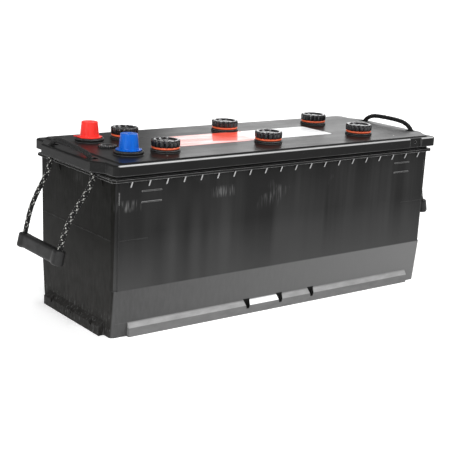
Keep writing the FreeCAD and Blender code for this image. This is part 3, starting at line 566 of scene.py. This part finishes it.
def strand_material(name, dark, light):
    """Bundled filaments; in the UV map u runs across a strand and v along it."""
    look = Look(name, light, 0.6, Specular_IOR_Level=0.2, Sheen_Weight=0.08)
    uv = look.add("TexCoord").outputs["UV"]
    slanted = look.add("Mapping", Vector=uv)
    slanted.inputs["Rotation"].default_value = (0, 0, math.radians(24))
    fibre = look.add("TexWave", {"wave_type": "BANDS", "bands_direction": "X"},
                     Vector=slanted.outputs["Vector"], Scale=2.6, Distortion=1.2, Detail=2.0)
    blotch = look.noise(900.0)
    look.colour(look.mix(look.product(fibre.outputs["Fac"], look.spread(blotch, 0.2, 0.8)), dark, light))
    look.roughness(look.spread(blotch, 0.3, 0.7, 0.5, 0.75))
    return look.relief((fibre.outputs["Fac"], 0.06 * MM))


def label_material():
    """A printed film: white, washed with pink towards -X, with a slanted red block and plain grey rules."""
    look = Look("label_print", grey(0.9), 0.36, Specular_IOR_Level=0.12)
    wash = look.noise(34.0, (0.28, 1.6, 1), detail=4.0)
    pale = look.mix(look.spread(wash, 0.40, 0.60), (0.88, 0.27, 0.24), (0.82, 0.68, 0.67))
    near_pink = look.window(look.x, -0.140, -0.002, 0.010)
    colour = look.mix(near_pink, (0.86, 0.865, 0.87), pale)

    def beside(share, offset, sign):
        """1 on one side of the slanted line x = share * y + offset."""
        away = look.calc("SUBTRACT", look.x, look.calc("MULTIPLY", look.y, share))
        return look.spread(away, offset - sign * 0.3 * MM, offset + sign * 0.3 * MM)

    near_end = look.calc("ADD", look.y, look.calc("MULTIPLY", look.x, 0.30))
    block = look.product(beside(0.686, -0.0518, 1), beside(0.757, -0.0131, -1),
                         look.spread(near_end, -0.0346, -0.0338))
    wedge = look.product(beside(1.8, -0.037, -1), beside(0.757, -0.0135, 1),
                         look.spread(look.y, 0.022, 0.0225))
    grain = look.spread(look.noise(160.0, (0.3, 1, 1)), 0.3, 0.7)
    ink = look.mix(grain, (0.90, 0.085, 0.055), (0.94, 0.15, 0.10))
    colour = look.mix(block, colour, ink)
    colour = look.mix(wedge, colour, (0.93, 0.35, 0.30))
    for y in LABEL_RULES:
        line = look.product(look.window(look.x, 0.088, 0.108 + y, 0.6 * MM),
                            look.window(look.y, y, y + 1.2 * MM, 0.4 * MM))
        colour = look.mix(line, colour, (0.50, 0.54, 0.60))
    look.colour(colour)
    look.roughness(look.spread(wash, 0.3, 0.7, 0.24, 0.36))
    return look.relief((look.noise(700.0), 0.01 * MM), (look.noise(40.0), 0.12 * MM))


def lead_material():
    """Cast lead with an uneven grey bloom."""
    look = Look("cast_lead", (0.30, 0.31, 0.33), 0.45, Metallic=0.85)
    bloom = look.noise(160.0, detail=5.0)
    cast = look.noise(700.0, detail=3.0)
    look.colour(look.mix(look.spread(bloom, 0.3, 0.7), (0.22, 0.225, 0.24), (0.46, 0.47, 0.49)))
    look.roughness(look.spread(bloom, 0.3, 0.7, 0.34, 0.6))
    return look.relief((cast, 0.04 * MM), (bloom, 0.08 * MM))


def plate_material(name, dark, light):
    """Pasted grid plates below, cast lead lugs and straps above."""
    look = Look(name, light, 0.75, Specular_IOR_Level=0.3)
    swapped = look.add("CombineXYZ", X=look.x, Y=look.z, Z=look.y)
    grid = look.add("TexBrick", {"offset": 0.0}, Vector=swapped.outputs["Vector"], Scale=1.0,
                    Brick_Width=8 * MM, Row_Height=6 * MM, Mortar_Size=0.6 * MM)
    paste = look.mix(look.noise(420.0, detail=5.0), dark, light)
    metal = look.mix(look.noise(150.0, detail=4.0), (0.20, 0.205, 0.22), (0.36, 0.37, 0.39))
    body = look.mix(grid.outputs["Fac"], paste, metal)
    above = look.spread(look.z, PLATE_TOP - 0.2 * MM, PLATE_TOP + 0.2 * MM)
    look.colour(look.mix(above, body, metal))
    look.roughness(look.spread(above, 0.0, 1.0, 0.85, 0.5))
    return look.relief((grid.outputs["Fac"], 0.2 * MM), (look.noise(900.0), 0.08 * MM))


def separator_material():
    """Grey-white microporous sheet with upright ribs."""
    look = Look("separator_sheet", (0.62, 0.62, 0.58), 0.8, Specular_IOR_Level=0.25)
    ribs = look.add("TexWave", {"wave_type": "BANDS", "bands_direction": "X"}, Vector=look.place, Scale=30.0)
    look.colour(look.mix(look.noise(600.0), (0.52, 0.52, 0.48), (0.70, 0.70, 0.66)))
    return look.relief((ribs.outputs["Fac"], 0.3 * MM), (look.noise(1500.0), 0.03 * MM))


def frit_material():
    """Sintered white plastic grains."""
    look = Look("sintered_frit", (0.7, 0.7, 0.68), 0.8)
    grains = look.add("TexVoronoi", Vector=look.place, Scale=3500.0).outputs["Distance"]
    look.colour(look.mix(grains, (0.78, 0.78, 0.76), (0.42, 0.42, 0.40)))
    return look.relief((grains, 0.1 * MM))


LOOKS = {
    "case": case_material(),
    "lid": lid_material(),
    "plug": plug_material(),
    "red": cap_material("cap_red_polyethylene", (0.88, 0.030, 0.024), (0.98, 0.048, 0.038)),
    "blue": cap_material("cap_blue_polyethylene", (0.001, 0.085, 0.44), (0.002, 0.130, 0.60)),
    "seal": seal_material(),
    "grip": grip_material(),
    "rope_dark": strand_material("rope_black_strand", grey(0.003), grey(0.014)),
    "rope_light": strand_material("rope_white_strand", (0.30, 0.30, 0.28), (0.68, 0.68, 0.65)),
    "label": label_material(),
    "lead": lead_material(),
    "positive": plate_material("positive_paste", (0.055, 0.026, 0.016), (0.12, 0.058, 0.035)),
    "negative": plate_material("negative_paste", (0.13, 0.135, 0.14), (0.24, 0.245, 0.25)),
    "separator": separator_material(),
    "frit": frit_material(),
}


# ---- camera, floor and light
def make_camera():
    """The photograph's view; azimuth 0 looks along +Y."""
    azimuth = math.radians(CAMERA_AZIMUTH)
    elevation = math.radians(CAMERA_ELEVATION)
    back = Vector((math.sin(azimuth) * math.cos(elevation), -math.cos(azimuth) * math.cos(elevation),
                   math.sin(elevation)))
    right = Vector((math.cos(azimuth), math.sin(azimuth), 0.0))
    axes = Matrix((right, back.cross(right), back)).transposed()
    axes = axes @ Matrix.Rotation(math.radians(CAMERA_ROLL), 3, "Z")
    data = bpy.data.cameras.new("camera")
    data.lens = CAMERA_LENS
    data.sensor_width = CAMERA_SENSOR
    camera = new_object("camera", data)
    camera.matrix_world = Matrix.Translation(CAMERA_PLACE) @ axes.to_4x4()
    bpy.context.scene.camera = camera


def make_floor():
    look = Look("pale_floor", grey(0.95), 0.8, Specular_IOR_Level=0.1, Emission_Strength=FLOOR_GLOW)
    look.shader.inputs["Emission Color"].default_value = (1.0, 1.0, 1.0, 1.0)
    look.colour(look.mix(look.noise(3.0), grey(0.94), grey(0.96)))
    corners = [(x * FLOOR_HALF, y * FLOOR_HALF, 0) for x, y in ((-1, -1), (1, -1), (1, 1), (-1, 1))]
    floor = mesh_object("floor", corners, [(0, 1, 2, 3)], [look.material], smooth=False)


def new_light(name, data, direction):
    """A light that shines from a direction, given as a vector towards it."""
    light = new_object(name, data)
    light.rotation_mode = "QUATERNION"
    light.rotation_quaternion = direction.to_track_quat("Z", "Y")
    return light


def softbox(name, direction, size, power):
    """A rectangular light in a direction from the middle of the case, facing it."""
    data = bpy.data.lights.new(name, "AREA")
    data.shape = "RECTANGLE"
    data.size = size[0]
    data.size_y = size[1]
    data.energy = power
    towards = Vector(direction).normalized()
    light = new_light(name, data, towards)
    light.location = Vector(LIGHT_TARGET) + towards * SOFTBOX_DISTANCE


def make_light():
    world = bpy.data.worlds.new("studio")
    world.use_nodes = True
    sky = world.node_tree.nodes["Background"]
    sky.inputs["Color"].default_value = (1.0, 1.0, 1.0, 1.0)
    sky.inputs["Strength"].default_value = SKY_STRENGTH
    bpy.context.scene.world = world
    data = bpy.data.lights.new("key_sun", "SUN")
    data.energy = SUN_STRENGTH
    data.angle = math.radians(SUN_SPREAD)
    new_light("key_sun", data, Vector(SUN_DIRECTION))
    for name, direction, size, power in SOFTBOXES:
        softbox(name, direction, size, power)
    bpy.context.scene.view_settings.view_transform = "Standard"


# ---- ropes
def spline_points(route):
    """Points of the smooth line with the route's points as its control points."""
    curve = bpy.data.curves.new("rope_line", "CURVE")
    curve.dimensions = "3D"
    curve.resolution_u = 12
    spline = curve.splines.new("NURBS")
    spline.points.add(len(route) - 1)
    for point, place in zip(spline.points, route):
        point.co = (*place, 1.0)
    spline.order_u = 3
    spline.use_endpoint_u = True
    carrier = bpy.data.objects.new("rope_line", curve)
    mesh = bpy.data.meshes.new_from_object(carrier)
    points = [vertex.co.copy() for vertex in mesh.vertices]
    bpy.data.meshes.remove(mesh)
    bpy.data.objects.remove(carrier)
    bpy.data.curves.remove(curve)
    return points


def evenly(points, step):
    """Points at equal distances along the same line."""
    runs = [(b - a).length for a, b in zip(points, points[1:])]
    count = round(sum(runs) / step)
    result = []
    index = 0
    passed = 0.0
    for number in range(count + 1):
        wanted = sum(runs) * number / count
        while index < len(runs) - 1 and passed + runs[index] < wanted:
            passed += runs[index]
            index += 1
        share = min(1.0, (wanted - passed) / runs[index])
        result.append(points[index].lerp(points[index + 1], share))
    return result


def frames_along(points):
    """(point, side, up) along a line, with no more twist than the line itself needs."""
    result = []
    side = None
    for index, point in enumerate(points):
        ahead = points[min(index + 1, len(points) - 1)] - points[max(index - 1, 0)]
        ahead.normalize()
        if side is None:
            side = ahead.orthogonal()
        side = (side - ahead * side.dot(ahead)).normalized()
        result.append((point, side, ahead.cross(side)))
    return result


def strand_ring(lift):
    """One cross-section of a strand: (share of its half width, share of ROPE_RADIUS) for each point."""
    ring = []
    for place in range(STRAND_POINTS):
        share = place / (STRAND_POINTS - 1) * 2 - 1
        crown = math.sqrt(max(0.0, 1 - share * share))
        ring.append((share, BRAID_LOW + BRAID_RISE * lift + BRAID_CROWN * crown))
    below = BRAID_BELOW + BRAID_RISE * lift
    return ring + [(0.6, below), (-0.6, below)]


def braided_rope(name, points):
    """A braid over a core: strands wind both ways and pass over and under each other."""
    frames = frames_along(points)
    vertices = []
    spots = []
    core_sides = 10
    for number, (point, side, up) in enumerate(frames):
        for index in range(core_sides):
            angle = 2 * math.pi * index / core_sides
            out = side * math.cos(angle) + up * math.sin(angle)
            vertices.append(point + out * ROPE_RADIUS * CORE_SHARE)
            spots.append((index / core_sides, number * BRAID_STEP / WEAVE_UNIT))

    # The core and each strand are closed tubes: first vertex, number of sides, and each ring's material slot.
    tubes = [(0, core_sides, [0] * len(frames))]
    half_width = math.pi / BRAID_STRANDS * BRAID_FILL
    for turn in (-1, 1):
        for strand in range(BRAID_STRANDS):
            tracer = strand % TRACER_PERIOD == (0 if turn == 1 else 2)
            shown = []
            tubes.append((len(vertices), STRAND_POINTS + 2, shown))
            for number, (point, side, up) in enumerate(frames):
                along = number * BRAID_STEP
                middle = 2 * math.pi * (strand / BRAID_STRANDS + turn * along / BRAID_LEAD)
                crossing = 2 * BRAID_STRANDS * along / BRAID_LEAD + strand + (1 if turn == 1 else 0)
                lift = smoothstep(0.5 + 0.5 * math.cos(math.pi * crossing), 0.15, 0.85)
                shown.append(1 if tracer and lift > TRACER_OVER and point.z < BLACK_TRACER_Z else 0)
                for share, radius in strand_ring(lift):
                    angle = middle + share * half_width
                    out = side * math.cos(angle) + up * math.sin(angle)
                    vertices.append(point + out * radius * ROPE_RADIUS)
                    spots.append((share, along / WEAVE_UNIT))
    faces = []
    slots = []
    for first, sides, shown in tubes:
        faces += tube_faces(first, sides, len(frames))
        slots += [slot for slot in shown[:-1] for _ in range(sides)]
        slots += [0, 0]
    rope = mesh_object(name, vertices, faces, [LOOKS["rope_dark"], LOOKS["rope_light"]], slots)
    layer = rope.data.uv_layers.new(name="strand")
    for loop in rope.data.loops:
        layer.data[loop.index].uv = spots[loop.vertex_index]
    return rope


def leg_route(side):
    """Points of the front leg's route, from the hinge into the grip."""
    points = [Vector((side * HANDLE_X, -HANDLE_Y, PIVOT_Z))]
    drawn_in = (HANDLE_Y - GRIP_Y) / sum(run for run, _ in LEG_RUNS[:-1])
    for index, (run, lean) in enumerate(LEG_RUNS):
        angle = math.radians(lean)
        inwards = run * drawn_in if index < len(LEG_RUNS) - 1 else 0.0
        points.append(points[-1] + Vector((side * run * math.sin(angle), inwards, -run * math.cos(angle))))
    return points


def make_rope(end, side):
    """One handle's rope, from socket to socket over the lid's lug."""
    leg = leg_route(side)
    arch = [Vector((side * HANDLE_X, y, z)) for y, z in ARCHES[end]]
    rear_leg = [Vector((p.x, -p.y, p.z)) for p in leg]
    points = evenly(spline_points(leg[::-1] + arch + rear_leg), BRAID_STEP)
    rope = braided_rope("%s_rope" % end, points)
    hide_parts("%s_rope_front" % end, "%s_rope_rear" % end, "%s_rope_loop" % end)
    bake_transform(rope)


def grip_mouth(side, y):
    """Where a socket of the grip opens, at y from the middle."""
    tilt = math.radians(GRIP_TILT)
    end = leg_route(side)[-1]
    return (end.x - side * GRIP_SOCKET * math.sin(tilt), y, end.z + GRIP_SOCKET * math.cos(tilt))


# ---- vent plugs
def lobes(angle, count):
    """0 on the crown of each lobe and 1 in the sharp valleys between them."""
    return (1 - abs(math.cos(count * angle / 2))) ** 1.4


def vent_plug(number):
    """A screw plug: a fluted head with a button in its bowl, a threaded shank and a hollow below."""
    node = "vent_plug_%d" % number
    centre, bottom, top = plan_centre(node)
    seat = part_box("vent_seal_%d" % number)[1].z + 0.3 * MM
    roof = seat - 1.5 * MM
    profile = softened([
        (0, top - 1.2 * MM, 0), (3.0 * MM, top - 1.2 * MM, 0.3 * MM), (3.6 * MM, top - 1.7 * MM, 0.3 * MM),
        (11.6 * MM, top - 1.7 * MM, 0.7 * MM), (12.6 * MM, top - 0.2 * MM, 0.3 * MM),
        (13.3 * MM, top, 0.3 * MM), (PLUG_HEAD - 0.3 * MM, top, 0.9 * MM),
        (PLUG_HEAD, top - 2.4 * MM, 1.2 * MM), (PLUG_HEAD - 0.3 * MM, seat, 0.7 * MM),
        (PLUG_SHANK, seat, 0.3 * MM), (PLUG_SHANK, bottom, 0.7 * MM), (PLUG_BORE, bottom, 0.5 * MM),
        (PLUG_BORE, roof, 0.6 * MM), (0, roof, 0)])

    def shaped(radius, height, angle):
        if height > seat - 0.01 * MM:
            flute = lobes(angle, PLUG_LOBES) * smoothstep(radius, 13.3 * MM, 15.6 * MM)
            return radius - PLUG_LOBE_DEPTH * flute
        if radius > PLUG_SHANK - 0.4 * MM:
            turn = (height / THREAD_PITCH - angle / (2 * math.pi)) % 1.0
            valley = smoothstep(abs(turn - 0.5), 0.38, 0.16)
            start = smoothstep(height, bottom + 1.5 * MM, bottom + 2.5 * MM)
            finish = smoothstep(height, seat - 0.5 * MM, seat - 2 * MM)
            return radius - THREAD_DEPTH * valley * start * finish
        return radius

    plug = turned("vent_%d_screw" % number, divided(profile, 0.45 * MM), centre, PLUG_LOBES * 16,
                  [LOOKS["plug"]], shaped)
    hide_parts(node)
    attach(plug, "vent_%d_plug" % number)


def vent_seal(number):
    """The ring under a vent plug's head, which fills its CAD node's height."""
    node = "vent_seal_%d" % number
    centre, bottom, top = plan_centre(node)
    middle = (bottom + top) / 2
    half_height = (top - bottom) / 2
    section = arc((0, 0), 1, 0, 360, 20)[:-1]
    profile = [(SEAL_MIDDLE + SEAL_HALF * p.x, middle + half_height * p.y) for p in section]
    ring = turned("vent_%d_o_ring" % number, profile, centre, 96, [LOOKS["seal"]], closed=True)
    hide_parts(node)
    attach(ring, "vent_%d_ring" % number)


def centre_plug():
    """The low knurled plug between the terminals, with a small pit in its shallow bowl."""
    centre, bottom, top = plan_centre("centre_plug")
    seat = LID_TOP + 0.02 * MM
    profile = softened([
        (0, top - 1.2 * MM, 0), (2.2 * MM, top - 1.2 * MM, 0.3 * MM), (2.8 * MM, top - 0.7 * MM, 0.3 * MM),
        (6.4 * MM, top - 0.7 * MM, 0.3 * MM), (7.2 * MM, top, 0.4 * MM),
        (CENTRE_HEAD - 0.3 * MM, top, 0.7 * MM), (CENTRE_HEAD, seat, 0.2 * MM),
        (CENTRE_STEM, seat, 0.1 * MM), (CENTRE_STEM, bottom, 0.3 * MM), (0, bottom, 0)])

    def shaped(radius, height, angle):
        return radius - KNURL_DEPTH * lobes(angle, CENTRE_KNURLS) * smoothstep(radius, 9.4 * MM, 10.6 * MM)

    plug = turned("centre_blanking_plug", divided(profile, FINE_STEP), centre, CENTRE_KNURLS * 10,
                  [LOOKS["plug"]], shaped)
    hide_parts("centre_plug")
    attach(plug, "case")


# ---- terminal caps
def cap_tab(centre, bottom):
    """The rounded pull tab, as points and faces of a closed strip."""
    outline = arc((TAB_REACH - TAB_HALF, 0), TAB_HALF, -90, 180, 8)
    outline += [(TAB_ROOT, TAB_HALF), (TAB_ROOT, -TAB_HALF)]
    turn = Matrix.Rotation(math.radians(TAB_ANGLE), 2)
    levels = ((0.25, 0.05), (0.0, 0.25), (0.0, 0.75), (0.25, 0.98))     # inset and height in millimetres
    vertices = []
    for inset, height in levels:
        for x, y in outline:
            drawn = inset * MM if x > 15 * MM else 0.0
            place = turn @ Vector((x - drawn, y * (1 - inset * MM / TAB_HALF)))
            vertices.append((centre[0] + place.x, centre[1] + place.y, bottom + height * MM))
    return vertices, tube_faces(0, len(outline), len(levels))


def terminal_cap(sign, look):
    """A push-on cap: tapered wall, dimpled top, scalloped flange, ribs; the positive has a tab."""
    node = "%s_terminal_cap" % sign
    _, bottom, top = plan_centre(node)
    centre, _, _ = plan_centre("%s_post" % sign)
    shelf = bottom + CAP_FLANGE
    inner_top = top - CAP_WALL
    profile = softened([
        (0, top - CAP_DIMPLE, 0), (2.0 * MM, top - CAP_DIMPLE, 0.3 * MM), (2.6 * MM, top, 0.3 * MM),
        (CAP_CROWN, top, 0.8 * MM), (CAP_FOOT, shelf, 0.4 * MM),
        (CAP_FLANGE_RADIUS, shelf - 0.15 * MM, 0.4 * MM), (CAP_FLANGE_RADIUS, bottom, 0.4 * MM),
        (10.8 * MM, bottom, 0.3 * MM), (8.96 * MM, inner_top, 0.05 * MM), (0, inner_top, 0)], steps=5)

    def shaped(radius, height, angle):
        if radius > 12.4 * MM:
            scallop = lobes(angle + math.pi / CAP_SCALLOPS, CAP_SCALLOPS) ** 0.8
            return radius - CAP_SCALLOP_DEPTH * scallop * smoothstep(radius, 12.4 * MM, 14.6 * MM)
        if radius > 11.2 * MM and height > shelf - 0.3 * MM:
            rib = max(0.0, math.cos(CAP_SCALLOPS * angle)) ** 6
            return radius + CAP_RIB * rib * smoothstep(height, shelf + 1.8 * MM, shelf + 0.2 * MM)
        return radius

    cap = turned("%s_cap" % sign, divided(profile, FINE_STEP), centre, CAP_SCALLOPS * 20, [look], shaped)
    if sign == "positive":
        tab = mesh_object("tab", *cap_tab(centre, bottom), [look])
        work = bmesh.new()
        work.from_mesh(cap.data)
        work.from_mesh(tab.data)
        work.to_mesh(cap.data)
        work.free()
        bpy.data.objects.remove(tab)
    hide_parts(node)
    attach(cap, "%s_cap" % sign)


# ---- grips
def grip_section(share):
    """Half thickness of the grip at a share of GRIP_Y: slim, and swelling into the bosses."""
    slim = GRIP_BAR[0] / 2
    return slim + (GRIP_BOSS_RADIUS - slim) * smoothstep(share, *GRIP_SWELL)


def solid_grip():
    """Bar and bosses as one moulding, upright round the origin with the socket mouths at z = 0.

    The bar is thinner than the bosses and lies flush with their +X sides.
    """
    stations = 60
    sides = 28
    vertices = []
    reach = GRIP_Y + GRIP_BOSS_RADIUS
    for index in range(stations + 1):
        y = -reach * math.cos(math.pi * index / stations)
        share = abs(y) / GRIP_Y
        half = grip_section(min(share, 1.0))
        if abs(y) > GRIP_Y:
            half = math.sqrt(max(0.0, GRIP_BOSS_RADIUS ** 2 - (abs(y) - GRIP_Y) ** 2))
        shift = max(0.0, grip_section(1.0) - half) if abs(y) < GRIP_Y else 0.0
        crown = smoothstep(share, 0.80, 0.90)
        high = -GRIP_BAR_DROP * (1 - crown)
        low = -GRIP_BAR[1] - GRIP_BAR_DROP - (GRIP_HEIGHT - GRIP_BAR[1] - GRIP_BAR_DROP) * crown
        fillet = min(half, GRIP_FILLET)
        for corner, (sx, sz) in enumerate(((1, 1), (-1, 1), (-1, -1), (1, -1))):
            for step in range(sides // 4):
                angle = math.pi / 2 * (corner + step / (sides // 4 - 1))
                x = sx * (half - fillet) + fillet * math.cos(angle) + shift
                middle = (high - fillet) if sz > 0 else (low + fillet)
                vertices.append((x, y, middle + fillet * math.sin(angle)))
    return mesh_object("grip_body", vertices, tube_faces(0, sides, stations + 1), [LOOKS["grip"]])


def drill(name, radius, depth, y):
    """A round cutter from above the grip down to depth, which leaves a bevelled mouth."""
    profile = [(0, -depth), (radius, -depth), (radius, -0.6 * MM), (radius + 0.6 * MM, 0.1 * MM),
               (radius + 0.6 * MM, 1 * MM), (0, 1 * MM)]
    return turned(name, profile, (0, y), 32, [LOOKS["grip"]])


def make_grip(end, side):
    """One handle's grip: remeshed so that bar and bosses blend, drilled, and set at its tilt and place."""
    grip = solid_grip()
    grip.name = "%s_hand_grip" % end
    bore = ROPE_RADIUS + 0.15 * MM
    depth = GRIP_SOCKET + 0.2 * MM
    cutters = [drill("socket_a", bore, depth, -GRIP_Y),
               drill("socket_b", bore, depth, GRIP_Y),
               drill("eye", GRIP_EYE[0], GRIP_EYE_DEPTH, GRIP_EYE[1])]
    remesh = grip.modifiers.new("remesh", "REMESH")
    remesh.mode = "VOXEL"
    remesh.voxel_size = GRIP_VOXEL
    remesh.use_smooth_shade = True
    relax = grip.modifiers.new("relax", "SMOOTH")
    relax.factor = 0.5
    relax.iterations = 4
    for cutter in cutters:
        cut = grip.modifiers.new(cutter.name, "BOOLEAN")
        cut.operation = "DIFFERENCE"
        cut.object = cutter
        cut.solver = "EXACT"
    evaluated = grip.evaluated_get(bpy.context.evaluated_depsgraph_get())
    mesh = bpy.data.meshes.new_from_object(evaluated)
    grip.modifiers.clear()
    grip.data = mesh
    for cutter in cutters:
        bpy.data.objects.remove(cutter)
    tilt = math.radians(-side * GRIP_TILT)
    mesh.transform(Matrix.Translation(grip_mouth(side, 0)) @ Matrix.Rotation(tilt, 4, "Y"))
    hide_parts("%s_grip" % end)
    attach(grip, "%s_handle" % end)


# ---- label
def label_outline(low, high):
    """The label's plan: rounded corners, and a bay round the middle vent of each row."""
    points = []
    for x, y, start in ((high.x, low.y, -90), (high.x, high.y, 0), (low.x, high.y, 90), (low.x, low.y, 180)):
        centre = (x - math.copysign(LABEL_CORNER, x), y - math.copysign(LABEL_CORNER, y))
        points += arc(centre, LABEL_CORNER, start, 90, 6)
        if x * y > 0:
            vent, _, _ = plan_centre("vent_seal_5" if y > 0 else "vent_seal_2")
            half = math.degrees(math.acos((abs(vent[1]) - abs(y)) / LABEL_BAY))
            points += arc(vent, LABEL_BAY, math.copysign(90, -y) + half, -2 * half, 24)
    return points


def make_label():
    """A thin film with bevelled rims, lying just above the lid."""
    low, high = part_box("top_label")
    bottom_z = low.z + 0.02 * MM
    work = bmesh.new()
    bottom = [work.verts.new((p.x, p.y, bottom_z)) for p in label_outline(low, high)]
    face = work.faces.new(bottom)
    raised = bmesh.ops.extrude_face_region(work, geom=[face])
    lifted = [v for v in raised["geom"] if isinstance(v, bmesh.types.BMVert)]
    bmesh.ops.translate(work, verts=lifted, vec=(0, 0, high.z - bottom_z))
    rim = [e for e in work.edges if all(v in lifted for v in e.verts)]
    bmesh.ops.bevel(work, geom=rim, offset=0.08 * MM, segments=2, affect="EDGES")
    bmesh.ops.triangulate(work, faces=[f for f in work.faces if len(f.verts) > 4])
    bmesh.ops.recalc_face_normals(work, faces=work.faces)
    mesh = bpy.data.meshes.new("printed_label")
    work.to_mesh(mesh)
    work.free()
    mesh.materials.append(LOOKS["label"])
    label = new_object("printed_label", mesh)
    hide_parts("top_label")
    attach(label, "case")


# ---- CAD nodes that stay
def look_for(node):
    """Which material a carried-over CAD node gets."""
    looks = {"container": "case", "lid": "lid", "gas_outlet_frit": "frit", "separators": "separator",
             "positive_plates": "positive", "negative_plates": "negative"}
    for ending, look in looks.items():
        if node.endswith(ending):
            return look
    return "lead"


def dress_cad_nodes():
    """Give every CAD node its material."""
    for name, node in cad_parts.items():
        node.data.materials.clear()
        node.data.materials.append(LOOKS[look_for(name)])


make_camera()
make_floor()
make_light()
for end, side in (("left", -1), ("right", 1)):
    make_rope(end, side)
    make_grip(end, side)
for number in range(1, 7):
    vent_plug(number)
    vent_seal(number)
centre_plug()
terminal_cap("positive", LOOKS["red"])
terminal_cap("negative", LOOKS["blue"])
make_label()
dress_cad_nodes()
